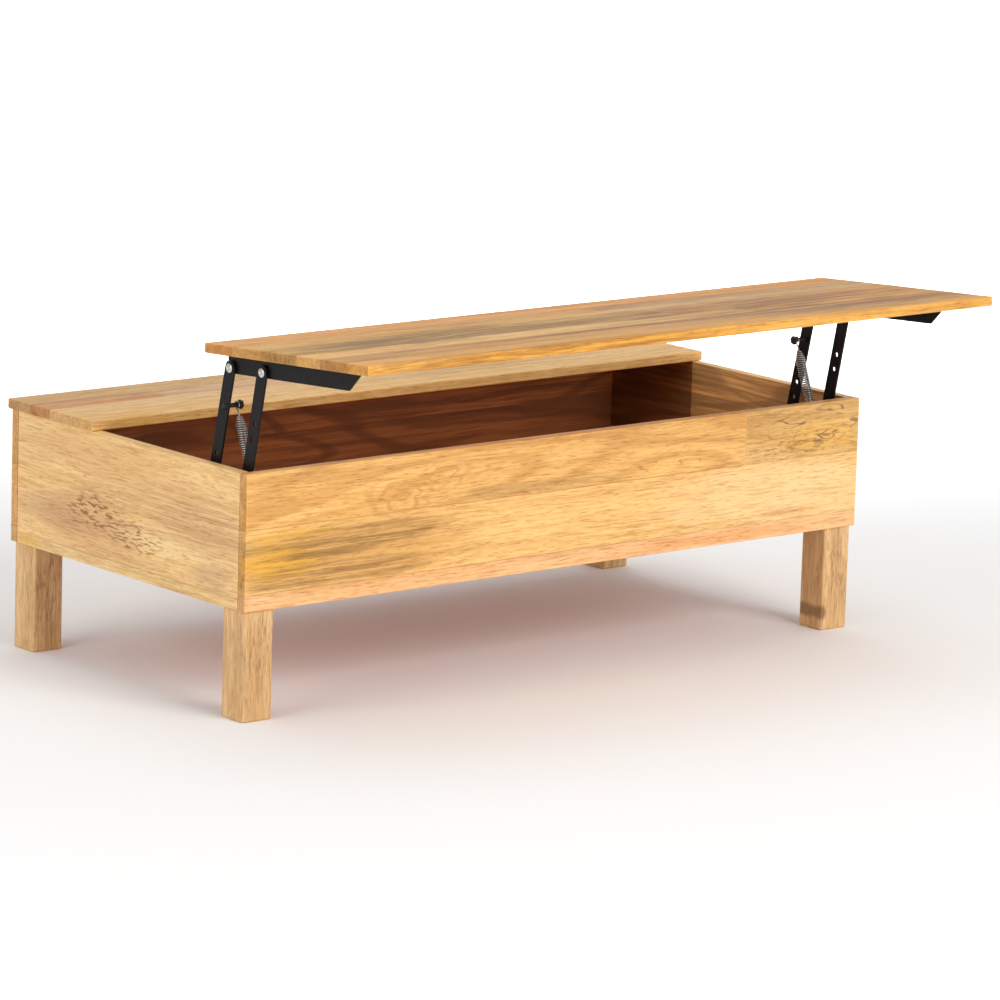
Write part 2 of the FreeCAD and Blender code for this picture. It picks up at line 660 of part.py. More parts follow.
def main():
    os.makedirs("parts", exist_ok=True)
    save("front_panel", long_panel(-1))
    save("back_panel", long_panel(1))
    save("left_end_panel", end_panel(-1))
    save("right_end_panel", end_panel(1))
    save("floor_panel", floor_panel())
    save("floor_cleat_front", long_cleat(-1))
    save("floor_cleat_back", long_cleat(1))
    save("floor_cleat_left", end_cleat(-1))
    save("floor_cleat_right", end_cleat(1))
    for corner, (sx, sy) in CORNERS.items():
        save(f"corner_block_{corner}", corner_block(sx, sy))
        save(f"leg_{corner}", leg(sx, sy))
    save("rear_top", rear_top())
    save("lift_top", lift_top())
    save("panel_dowels", panel_dowels())
    save("rear_top_dowels", rear_top_dowels())
    save("floor_screws", floor_screws())
    save("leg_bolts", leg_bolts())
    save("leg_bolt_washers", leg_bolt_washers())
    save_pair("base_plate", base_plate)
    save_pair("base_plate_screws", plate_screws)
    save_pair("base_rivets", base_rivets)
    save_pair("base_washers", base_washers)
    save_pair("spring_anchor", spring_anchor)
    save_pair("rear_arm", rear_arm)
    save_pair("front_arm", front_arm)
    save_pair("rear_arm_washer", lambda: arm_washer(REAR_PIVOT, TOP_RIVET_R + RUNNING))
    save_pair("front_arm_washer", lambda: arm_washer(FRONT_PIVOT, TOP_RIVET_R))
    save_pair("spring_post", spring_post)
    save_pair("spring_post_nut", spring_post_nut)
    save_pair("top_bracket", top_bracket)
    save_pair("top_bracket_screws", lambda: [with_lift_top(s) for s in bracket_screws_closed()])
    save_pair("rear_top_rivet", rear_top_rivet)
    save_pair("front_top_rivet", front_top_rivet)
    save_pair("spring", spring)
    save_pair("spring_hook", spring_hook)

    print("rear foot pivot", REAR_FOOT_Y + ORIGIN_SHIFT, REAR_FOOT_Z)
    print("front foot pivot", FRONT_FOOT[0] + ORIGIN_SHIFT, FRONT_FOOT[1], "swing", FRONT_SWING)
    print("rear upper pivot", REAR_PIVOT[0] + ORIGIN_SHIFT, REAR_PIVOT[1])
    print("spring anchor", ANCHOR_Y + ORIGIN_SHIFT, ANCHOR_Z, "lean", SPRING_LEAN, "length", SPRING_LENGTH)
    print("spring post", POST[0] + ORIGIN_SHIFT, POST[1], "origin shift", ORIGIN_SHIFT)


main()
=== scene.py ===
"""The finished look of a lift top coffee table in oiled mango wood with black steel fittings."""

import json
import logging
import math
from dataclasses import dataclass
from enum import Enum

import bpy
import numpy as np
from mathutils import Matrix, Vector


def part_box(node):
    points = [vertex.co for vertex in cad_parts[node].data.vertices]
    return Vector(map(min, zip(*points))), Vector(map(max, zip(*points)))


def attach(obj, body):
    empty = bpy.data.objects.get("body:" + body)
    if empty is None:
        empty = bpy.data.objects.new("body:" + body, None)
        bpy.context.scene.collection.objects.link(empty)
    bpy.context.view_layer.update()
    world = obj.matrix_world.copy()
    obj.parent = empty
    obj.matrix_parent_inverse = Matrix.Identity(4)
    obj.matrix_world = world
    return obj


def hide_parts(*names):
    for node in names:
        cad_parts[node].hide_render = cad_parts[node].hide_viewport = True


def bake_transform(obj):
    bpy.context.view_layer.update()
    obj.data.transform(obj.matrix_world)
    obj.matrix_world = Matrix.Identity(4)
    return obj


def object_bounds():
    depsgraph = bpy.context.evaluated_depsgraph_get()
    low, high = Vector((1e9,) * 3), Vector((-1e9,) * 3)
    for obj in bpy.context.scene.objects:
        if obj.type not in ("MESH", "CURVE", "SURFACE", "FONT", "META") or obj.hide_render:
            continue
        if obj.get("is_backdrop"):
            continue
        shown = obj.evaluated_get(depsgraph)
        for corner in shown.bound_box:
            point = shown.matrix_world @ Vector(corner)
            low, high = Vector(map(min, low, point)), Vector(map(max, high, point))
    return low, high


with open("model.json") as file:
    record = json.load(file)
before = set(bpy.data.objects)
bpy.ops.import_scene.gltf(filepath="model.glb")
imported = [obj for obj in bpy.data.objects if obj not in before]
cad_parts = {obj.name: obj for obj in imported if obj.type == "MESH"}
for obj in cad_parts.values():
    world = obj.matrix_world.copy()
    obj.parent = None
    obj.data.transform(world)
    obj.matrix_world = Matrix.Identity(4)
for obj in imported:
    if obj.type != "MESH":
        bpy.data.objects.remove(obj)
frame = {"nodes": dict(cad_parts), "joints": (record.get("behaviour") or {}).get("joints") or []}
CAD_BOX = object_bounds()

LOG = logging.getLogger("coffee_table")

Rgb = tuple[float, float, float]
Span = tuple[float, float]
Socket = bpy.types.NodeSocket
Spot = tuple[Socket, Socket, Socket]
Point = tuple[float, float, float]

EVERYWHERE: Span = (-9.0, 9.0)
START, END = EVERYWHERE
MM = 0.001
RAISED_TILT = -3.8  # in degrees: the raised top's front edge stands higher than its rear edge
HEAD_SIDES = 32


class Axis(Enum):
    """The three directions of the table's own frame."""

    X = 0
    Y = 1
    Z = 2


class Hand(Enum):
    """The two ends of the table, each with one set of fittings."""

    LEFT = -1
    RIGHT = 1

    @property
    def word(self) -> str:
        """The word that ends the names of this end's pieces."""
        return self.name.lower()


class Mark(Enum):
    """What an oval area of unusual wood looks like."""

    TINT = "an even change of colour"
    STREAKS = "colour in long streaks with the grain"
    FLECKS = "short dark flecks"
    INK_LINES = "thin wandering dark lines"
    RINGS = "wavy rings round one spot"


def linear(red: float, green: float, blue: float) -> Rgb:
    """Turns a colour of 0 to 255 as a paint chart gives it into shader values.

    Args:
        red: the red share.
        green: the green share.
        blue: the blue share.

    Returns:
        The same colour in linear light.
    """
    shares = [value / 255 for value in (red, green, blue)]
    return tuple(s / 12.92 if s <= 0.04045 else ((s + 0.055) / 1.055) ** 2.4 for s in shares)


# --- drawing nodes ---
class Sheet:
    """A node tree under construction, with short ways to add its nodes."""

    tree: bpy.types.NodeTree

    def feed(self, target: Socket, value: "Socket | float | tuple") -> None:
        """Links or sets one input socket.

        Args:
            target: the input.
            value: a socket to link, or a plain value.
        """
        if isinstance(value, bpy.types.NodeSocket):
            self.tree.links.new(value, target)
        elif isinstance(value, tuple) and target.type == "RGBA":
            target.default_value = (*value, 1.0)
        else:
            target.default_value = value

    def calc(self, operation: str, first: "Socket | float", second: "Socket | float" = 0.0) -> Socket:
        """Adds one sum on numbers.

        Args:
            operation: the name of the sum.
            first: the first number.
            second: the second number, where the sum has one.

        Returns:
            The result.
        """
        node = self.tree.nodes.new("ShaderNodeMath")
        node.operation = operation
        self.feed(node.inputs[0], first)
        self.feed(node.inputs[1], second)
        return node.outputs[0]

    def times(self, first: "Socket | float", second: "Socket | float") -> Socket:
        """Multiplies two numbers and returns the result."""
        return self.calc("MULTIPLY", first, second)

    def plus(self, first: "Socket | float", second: "Socket | float") -> Socket:
        """Adds two numbers up and returns the result."""
        return self.calc("ADD", first, second)

    def minus(self, first: "Socket | float", second: "Socket | float") -> Socket:
        """Takes the second number from the first and returns the result."""
        return self.calc("SUBTRACT", first, second)

    def length(self, x: Socket, y: Socket) -> Socket:
        """Finds how far two numbers together reach from nought and returns the distance."""
        return self.calc("SQRT", self.plus(self.times(x, x), self.times(y, y)))


@dataclass(frozen=True)
class Pattern:
    """A cloudy pattern: its fineness along and across the grain, its finer layers and their strength."""

    lengthwise: float
    crosswise: float
    detail: float
    rough: float = 0.55


class FinishSheet(Sheet):
    """A material under construction."""

    def __init__(self, name: str) -> None:
        """Starts an empty material.

        Args:
            name: the material's name.
        """
        self.material = bpy.data.materials.new(name)
        self.material.use_nodes = True
        self.tree = self.material.node_tree
        self.tree.nodes.clear()
        self.shader = self.tree.nodes.new("ShaderNodeBsdfPrincipled")
        output = self.tree.nodes.new("ShaderNodeOutputMaterial")
        self.tree.links.new(self.shader.outputs["BSDF"], output.inputs["Surface"])
        self.place = self.tree.nodes.new("ShaderNodeTexCoord")

    def vector(self, x: "Socket | float", y: "Socket | float", z: "Socket | float") -> Socket:
        """Joins three numbers into a vector and returns it."""
        node = self.tree.nodes.new("ShaderNodeCombineXYZ")
        for target, value in zip(node.inputs, (x, y, z)):
            self.feed(target, value)
        return node.outputs[0]

    def parts(self, vector: Socket) -> tuple[Socket, Socket, Socket]:
        """Splits a vector and returns its three numbers."""
        node = self.tree.nodes.new("ShaderNodeSeparateXYZ")
        self.feed(node.inputs[0], vector)
        return tuple(node.outputs)

    def noise(self, vector: Socket, seed: "Socket | float", detail: float, rough: float = 0.55) -> Socket:
        """Adds a cloudy pattern.

        Args:
            vector: where it is read.
            seed: what tells one board's pattern from the next one's.
            detail: how many finer layers it has.
            rough: how strong the finer layers are.

        Returns:
            A number around 0.5.
        """
        node = self.tree.nodes.new("ShaderNodeTexNoise")
        node.noise_dimensions = "4D"
        self.feed(node.inputs["Vector"], vector)
        self.feed(node.inputs["W"], seed)
        self.feed(node.inputs["Scale"], 1.0)
        self.feed(node.inputs["Detail"], detail)
        self.feed(node.inputs["Roughness"], rough)
        return node.outputs[0]

    def pattern(self, kind: Pattern, spot: Spot, seed: "Socket | float") -> Socket:
        """Adds a pattern drawn out along the grain.

        Args:
            kind: how fine and how strong it is.
            spot: the place along the grain, across it and into the board.
            seed: what tells one board's pattern from the next one's.

        Returns:
            A number around 0.5.
        """
        along, across, deep = spot
        place = self.vector(self.times(along, kind.lengthwise), self.times(across, kind.crosswise),
                            self.times(deep, kind.crosswise))
        return self.noise(place, seed, kind.detail, kind.rough)

    def ease(self, value: Socket, low: float, high: float, to_low: float = 0.0,
             to_high: float = 1.0) -> Socket:
        """Carries a number smoothly from one range to another.

        Args:
            value: the number.
            low: where the change starts.
            high: where it ends.
            to_low: the result up to low.
            to_high: the result from high on.

        Returns:
            The eased number.
        """
        node = self.tree.nodes.new("ShaderNodeMapRange")
        node.interpolation_type = "SMOOTHSTEP"
        self.feed(node.inputs["Value"], value)
        ends = {"From Min": low, "From Max": high, "To Min": to_low, "To Max": to_high}
        for name, setting in ends.items():
            self.feed(node.inputs[name], setting)
        return node.outputs[0]

    def blend(self, share: "Socket | float", first: "Socket | Rgb", second: "Socket | Rgb",
              way: str = "MIX") -> Socket:
        """Mixes two colours.

        Args:
            share: how much of the second one shows.
            first: the colour underneath.
            second: the colour on top.
            way: how they mix.

        Returns:
            The mixed colour.
        """
        node = self.tree.nodes.new("ShaderNodeMix")
        node.data_type = "RGBA"
        node.blend_type = way
        self.feed(node.inputs[0], share)
        self.feed(node.inputs[6], first)
        self.feed(node.inputs[7], second)
        return node.outputs[2]

    def tinted(self, colour: "Socket | Rgb", tint: Rgb) -> Socket:
        """Multiplies a colour by a tint and returns the result."""
        return self.blend(1.0, colour, tint, "MULTIPLY")

    def pick(self, share: Socket, first: "Socket | float", second: "Socket | float") -> Socket:
        """Mixes two numbers by a share and returns the result."""
        node = self.tree.nodes.new("ShaderNodeMix")
        self.feed(node.inputs[0], share)
        self.feed(node.inputs[2], first)
        self.feed(node.inputs[3], second)
        return node.outputs[0]

    def inside(self, value: Socket, span: Span) -> "Socket | None":
        """Finds whether a number lies in a span.

        Args:
            value: the number.
            span: its lowest and highest value.

        Returns:
            1 inside and 0 outside, or None where the span has no real end.
        """
        tests = []
        if span[0] > START:
            tests.append(self.calc("GREATER_THAN", value, span[0]))
        if span[1] < END:
            tests.append(self.calc("LESS_THAN", value, span[1]))
        return self.product(tests)

    def product(self, shares: "list[Socket | None]") -> "Socket | None":
        """Multiplies the shares that there are and returns the result, or None where there are none."""
        found = [share for share in shares if share is not None]
        if not found:
            return None
        total = found[0]
        for share in found[1:]:
            total = self.times(total, share)
        return total

    def bump(self, height: Socket, depth: float, strength: float = 1.0) -> None:
        """Raises and lowers the surface a little.

        Args:
            height: the relief, from 0 to 1.
            depth: what a height of 1 stands for, in metres.
            strength: how much of it shows.
        """
        node = self.tree.nodes.new("ShaderNodeBump")
        self.feed(node.inputs["Height"], height)
        self.feed(node.inputs["Distance"], depth)
        self.feed(node.inputs["Strength"], strength)
        self.feed(self.shader.inputs["Normal"], node.outputs[0])


# --- wood ---
SWAY = Pattern(3.2, 11.0, 2.0)
BROAD = Pattern(1.7, 9.0, 2.0)
STREAK = Pattern(2.4, 78.0, 5.0, 0.66)
LINE = Pattern(4.5, 230.0, 4.0, 0.68)
FIBRE = Pattern(22.0, 430.0, 3.0, 0.65)
PORE = Pattern(48.0, 760.0, 1.0)
RIPPLE = Pattern(30.0, 300.0, 3.0, 0.65)
RING_WAVE = Pattern(1.5, 8.5, 1.0, 0.4)
CUT_END = Pattern(500.0, 620.0, 3.0)
RAGGED = Pattern(12.0, 60.0, 3.0)
FLECK = Pattern(60.0, 300.0, 2.0)
INK = Pattern(9.0, 40.0, 2.0)
INK_BREAKS = Pattern(30.0, 90.0, 1.0)

DEEPER_GRAIN: Rgb = (0.72, 0.59, 0.45)
PALER_GRAIN: Rgb = (1.13, 1.12, 1.08)
PORE_TINT: Rgb = (0.66, 0.52, 0.38)
GLUE_TINT: Rgb = (0.42, 0.30, 0.20)
# painted shadow of the rear top on the inside faces behind its front edge
REAR_TOP_SHADOW_TINT: Rgb = (0.42, 0.34, 0.30)
# paler band along the edges: wear plus a painted highlight
WEAR_AND_HIGHLIGHT_TINT: Rgb = (1.16, 1.13, 1.06)
# darker line right at the edges: painted shade of the rounded arris
ARRIS_SHADE_TINT: Rgb = (0.60, 0.46, 0.34)
SWAY_WIDTH = 0.020
RINGS_PER_WAVE = 95.0
PATCH_RINGS = 21.0
PATCH_UNEVEN = 1.1
INK_LINES_PER_WAVE = 9.0
STAVE_SEED_STEP = 3.7
PATCH_SEED_SPREAD = 10
OIL_SHINE = 0.35
RELIEF_DEPTH = 0.22 * MM


@dataclass(frozen=True)
class Stave:
    """One strip of a glued-up board: its colour, and its reach along and across the grain in metres."""

    tone: Rgb
    along: Span = EVERYWHERE
    across: Span = EVERYWHERE
    figure: float = 0.25


@dataclass(frozen=True)
class Patch:
    """An oval area of unusual wood, by its middle and half size along and across the grain in metres."""

    mark: Mark
    middle: Span
    reach: Span
    tone: Rgb
    share: float = 0.6


@dataclass(frozen=True)
class Lie:
    """How a board that doesn't lie square to the frame is placed."""

    point: Point
    tilt: float


@dataclass(frozen=True)
class WoodFinish:
    """Oiled mango wood in one direction of grain, with the strips and marks that it shows."""

    name: str
    grain: Axis
    across: Axis
    staves: tuple[Stave, ...]
    patches: tuple[Patch, ...] = ()
    # the face that looks into the box, its sign and its colour: a stain with painted shade of the box's
    # inside
    back_face: "tuple[Axis, int, Rgb] | None" = None
    end_tone: float = 0.86
    sheen: float = 0.46
    lie: "Lie | None" = None
    # from here back along the grain, the inside face gets the rear top's painted shadow
    shadow_past: "float | None" = None
    piece: str = ""
    seed: float = 0.0

    @property
    def axes(self) -> tuple[int, int, int]:
        """The numbers of the directions along the grain, across it and into the board."""
        along, across = self.grain.value, self.across.value
        return along, across, ({0, 1, 2} - {along, across}).pop()

    def coordinates(self, sheet: FinishSheet) -> Spot:
        """Finds the place along the grain, across it and into the board.

        Args:
            sheet: the material under construction.

        Returns:
            The three distances in metres.
        """
        place = sheet.place.outputs["Object"]
        if self.lie:
            node = sheet.tree.nodes.new("ShaderNodeMapping")
            node.vector_type = "TEXTURE"
            sheet.feed(node.inputs["Vector"], place)
            node.inputs["Location"].default_value = self.lie.point
            node.inputs["Rotation"].default_value = (self.lie.tilt, 0.0, 0.0)
            place = node.outputs[0]
        split = sheet.parts(place)
        return tuple(split[index] for index in self.axes)

    def edge_distance(self, sheet: FinishSheet, spot: Spot) -> Socket:
        """Finds how far each point of the piece is from its nearest edge.

        Args:
            sheet: the material under construction.
            spot: the place along the grain, across it and into the board.

        Returns:
            The distance in metres.
        """
        start = Vector(self.lie.point) if self.lie else Vector()
        turn = Matrix.Rotation(-self.lie.tilt if self.lie else 0.0, 3, "X")
        points = [turn @ (vertex.co - start) for vertex in bpy.data.objects[self.piece].data.vertices]
        near = []
        for index, place in zip(self.axes, spot):
            low, high = min(point[index] for point in points), max(point[index] for point in points)
            near.append(sheet.calc("MINIMUM", sheet.minus(place, low), sheet.minus(high, place)))
        first, second, third = near
        return sheet.calc("MAXIMUM", sheet.calc("MINIMUM", first, second),
                          sheet.calc("MINIMUM", sheet.calc("MAXIMUM", first, second), third))

    def staves_at(self, sheet: FinishSheet, along: Socket, across: Socket) -> Spot:
        """Finds each point's strip.

        Args:
            sheet: the material under construction.
            along: the place along the grain.
            across: the place across it.

        Returns:
            The strip's colour, its own number for the patterns, and how much figure it has.
        """
        tone: "Socket | Rgb" = self.staves[0].tone
        number: "Socket | float" = self.seed
        figure: "Socket | float" = self.staves[0].figure
        for index, stave in enumerate(self.staves[1:], 1):
            where = sheet.product([sheet.inside(along, stave.along), sheet.inside(across, stave.across)])
            tone = sheet.blend(where, tone, stave.tone)
            number = sheet.pick(where, number, self.seed + STAVE_SEED_STEP * index)
            figure = sheet.pick(where, figure, stave.figure)
        if len(self.staves) == 1:
            tone = sheet.blend(1.0, tone, tone)
            number = sheet.plus(number, 0.0)
            figure = sheet.plus(figure, 0.0)
        return tone, number, figure

    def with_joints(self, sheet: FinishSheet, colour: Socket, along: Socket, across: Socket) -> Socket:
        """Draws the thin glue lines between the strips.

        Args:
            sheet: the material under construction.
            colour: the colour so far.
            along: the place along the grain.
            across: the place across it.

        Returns:
            The colour with the lines on it.
        """
        lines: dict[float, Span] = {}
        for stave in self.staves:
            for edge in stave.across:
                if edge not in EVERYWHERE:
                    lines.setdefault(edge, stave.along)
        for edge, reach in lines.items():
            near = sheet.calc("ABSOLUTE", sheet.minus(across, edge))
            share = sheet.product([sheet.ease(near, 0.0002, 0.0009, 0.55, 0.0), sheet.inside(along, reach)])
            colour = sheet.blend(share, colour, sheet.tinted(colour, GLUE_TINT))
        return colour

    def with_patch(self, sheet: FinishSheet, colour: Socket, patch: Patch, spot: Spot,
                   streak: Socket) -> Socket:
        """Lays one unusual area over the colour.

        Args:
            sheet: the material under construction.
            colour: the colour so far.
            patch: the area.
            spot: the place along the grain, across it and into the board.
            streak: the fine streaks of the grain.

        Returns:
            The colour with the area on it.
        """
        def cloud(kind: Pattern) -> Socket:
            """Adds a pattern of the area's own and returns it."""
            return sheet.pattern(kind, spot, self.seed + patch.middle[0] * PATCH_SEED_SPREAD)

        far = sheet.length(*(sheet.calc("DIVIDE", sheet.minus(place, middle), reach)
                             for place, middle, reach in zip(spot, patch.middle, patch.reach)))
        far = sheet.plus(far, sheet.times(sheet.minus(cloud(RAGGED), 0.5), PATCH_UNEVEN))
        share = sheet.ease(far, 0.35, 1.10, patch.share, 0.0)
        if patch.mark is Mark.STREAKS:
            share = sheet.times(share, sheet.ease(streak, 0.40, 0.60, 0.12, 1.0))
        elif patch.mark is Mark.RINGS:
            waves = sheet.calc("SINE", sheet.times(far, PATCH_RINGS))
            share = sheet.times(share, sheet.ease(waves, -0.1, 0.9))
        elif patch.mark is Mark.FLECKS:
            share = sheet.times(share, sheet.ease(cloud(FLECK), 0.50, 0.62))
        elif patch.mark is Mark.INK_LINES:
            lines = sheet.times(cloud(INK), INK_LINES_PER_WAVE)
            near = sheet.calc("ABSOLUTE", sheet.minus(sheet.calc("FRACT", lines), 0.5))
            share = sheet.times(share, sheet.ease(cloud(INK_BREAKS), 0.42, 0.56))
            share = sheet.times(share, sheet.ease(near, 0.04, 0.17, 1.0, 0.0))
        return sheet.blend(share, colour, patch.tone)

    def with_stain_and_shade(self, sheet: FinishSheet, colour: Socket, facing: Spot, along: Socket,
                   layers: "tuple[tuple[Socket, float, float, float, float], ...]") -> Socket:
        """Stains the face that looks into the box and paints shade on it: the inside is darker and redder
        where it lies in shade.

        Args:
            sheet: the material under construction.
            colour: the colour of the other faces.
            facing: the direction each point faces.
            along: the place along the grain.
            layers: each pattern, where it sets in and is full, its most and what it leaves of the stain and
                painted shade.

        Returns:
            The colour of all faces.
        """
        axis, sign, inner = self.back_face
        stain_and_shade_colour: "Socket | Rgb" = inner
        for pattern, first, last, most, depth in layers:
            stain_and_shade_colour = sheet.blend(sheet.ease(pattern, first, last, 0.0, most), stain_and_shade_colour,
                                  tuple(share * depth for share in inner))
        # painted shadow of the rear top: darker inside behind its front edge
        if self.shadow_past is not None:
            shadow_share = sheet.calc("GREATER_THAN", along, self.shadow_past)
            stain_and_shade_colour = sheet.blend(shadow_share, stain_and_shade_colour, sheet.tinted(stain_and_shade_colour, REAR_TOP_SHADOW_TINT))
        inward = sheet.times(facing[axis.value], float(sign))
        return sheet.blend(sheet.calc("GREATER_THAN", inward, 0.6), colour, stain_and_shade_colour)

    def material(self) -> bpy.types.Material:
        """Builds the finish.

        Returns:
            The material.
        """
        sheet = FinishSheet(self.name)
        spot = self.coordinates(sheet)
        along, across, deep = spot
        tone, number, figure = self.staves_at(sheet, along, across)
        sway = sheet.times(sheet.minus(sheet.pattern(SWAY, spot, number), 0.5), SWAY_WIDTH)
        bent = (along, sheet.plus(across, sway), sheet.plus(deep, sway))
        broad, streak, line, fibre, pore, ripple, wave = (
            sheet.pattern(kind, bent, number)
            for kind in (BROAD, STREAK, LINE, FIBRE, PORE, RIPPLE, RING_WAVE))
        rings = sheet.calc("SINE", sheet.times(wave, RINGS_PER_WAVE))
        deeper, paler = sheet.tinted(tone, DEEPER_GRAIN), sheet.tinted(tone, PALER_GRAIN)
        colour = sheet.blend(sheet.ease(broad, 0.30, 0.72), paler, tone)
        colour = sheet.blend(sheet.ease(streak, 0.42, 0.66, 0.0, 0.50), colour, deeper)
        colour = sheet.blend(sheet.ease(line, 0.46, 0.66, 0.0, 0.42), colour, deeper)
        colour = sheet.blend(sheet.times(sheet.ease(rings, -0.2, 1.0), figure), colour, deeper)
        colour = sheet.blend(sheet.ease(ripple, 0.50, 0.64, 0.0, 0.36), colour, deeper)
        colour = sheet.blend(sheet.ease(ripple, 0.34, 0.46, 0.28, 0.0), colour, paler)
        colour = self.with_joints(sheet, colour, along, across)
        for patch in self.patches:
            colour = self.with_patch(sheet, colour, patch, spot, line)
        darker = sheet.tinted(colour, PORE_TINT)
        colour = sheet.blend(sheet.ease(fibre, 0.48, 0.68, 0.0, 0.62), colour, darker)
        colour = sheet.blend(sheet.ease(pore, 0.58, 0.68, 0.0, 0.75), colour, darker)
        facing = sheet.parts(sheet.place.outputs["Normal"])
        if self.back_face:
            # faces looking into the box: stain plus painted shade
            colour = self.with_stain_and_shade(sheet, colour, facing, along, (
                (streak, 0.42, 0.60, 0.85, 0.34), (line, 0.46, 0.64, 0.60, 0.30),
                (broad, 0.42, 0.58, 0.60, 0.50), (rings, 0.2, 1.0, 0.60, 0.30),
                (fibre, 0.5, 0.75, 0.4, 0.4)))
        ended = sheet.calc("GREATER_THAN", sheet.calc("ABSOLUTE", facing[self.grain.value]), 0.75)
        speck = sheet.pattern(CUT_END, spot, number)
        cut = sheet.blend(sheet.ease(speck, 0.4, 0.65, 0.15, 0.75), colour, darker)
        colour = sheet.blend(ended, colour, sheet.tinted(cut, (self.end_tone,) * 3))
        rough = sheet.ease(streak, 0.3, 0.75, self.sheen - 0.05, self.sheen + 0.10)
        if self.piece:
            edge = self.edge_distance(sheet, spot)
            uneven = sheet.plus(edge, sheet.times(sheet.minus(ripple, 0.5), 4 * MM))
            # paler band 1 to 3 mm from the edges: wear plus a painted highlight
            wear_and_highlight = sheet.ease(uneven, 1 * MM, 3 * MM, 0.55, 0.0)
            colour = sheet.blend(wear_and_highlight, colour, sheet.tinted(colour, WEAR_AND_HIGHLIGHT_TINT))
            # darker line within about a millimetre of the edges: painted shade of the rounded arris
            arris_shade = sheet.ease(edge, 0.3 * MM, 1.3 * MM, 0.45, 0.0)
            colour = sheet.blend(arris_shade, colour, sheet.tinted(colour, ARRIS_SHADE_TINT))
            rough = sheet.minus(rough, sheet.times(wear_and_highlight, 0.14))
        sheet.feed(sheet.shader.inputs["Base Color"], colour)
        sheet.feed(sheet.shader.inputs["Roughness"], rough)
        sheet.shader.inputs["Specular IOR Level"].default_value = OIL_SHINE
        relief = sheet.plus(sheet.times(fibre, 0.6), sheet.ease(pore, 0.58, 0.72, 0.7, 0.0))
        sheet.bump(relief, RELIEF_DEPTH, 0.35)
        return sheet.material


# --- metal ---
@dataclass(frozen=True)
class MetalFinish:
    """Bare or painted steel: its colour, gloss, the size of its texture and how much it varies."""

    name: str
    tone: Rgb
    worn: Rgb
    metallic: float
    roughness: float
    texture: float = 900.0
    relief: float = 0.00004
    wear: float = 0.25
    shine: float = 0.5
    smear_size: float = 38.0
    scuff_size: float = 240.0

    def material(self) -> bpy.types.Material:
        """Builds the finish.

        Returns:
            The material.
        """
        sheet = FinishSheet(self.name)
        place = sheet.parts(sheet.place.outputs["Object"])
        grit, smear, scuff = (
            sheet.pattern(Pattern(size, size, detail), place, 0.0)
            for size, detail in ((self.texture, 2.0), (self.smear_size, 3.0), (self.scuff_size, 4.0)))
        colour = sheet.blend(sheet.ease(smear, 0.35, 0.7, 0.0, self.wear), self.tone, self.worn)
        colour = sheet.blend(sheet.ease(scuff, 0.60, 0.74, 0.0, self.wear), colour, self.worn)
        sheet.feed(sheet.shader.inputs["Base Color"], colour)
        sheet.shader.inputs["Metallic"].default_value = self.metallic
        sheet.shader.inputs["Specular IOR Level"].default_value = self.shine
        sheet.feed(sheet.shader.inputs["Roughness"],
                   sheet.ease(smear, 0.3, 0.75, self.roughness - 0.06, self.roughness + 0.10))
        sheet.bump(grit, self.relief, 0.5)
        return sheet.material


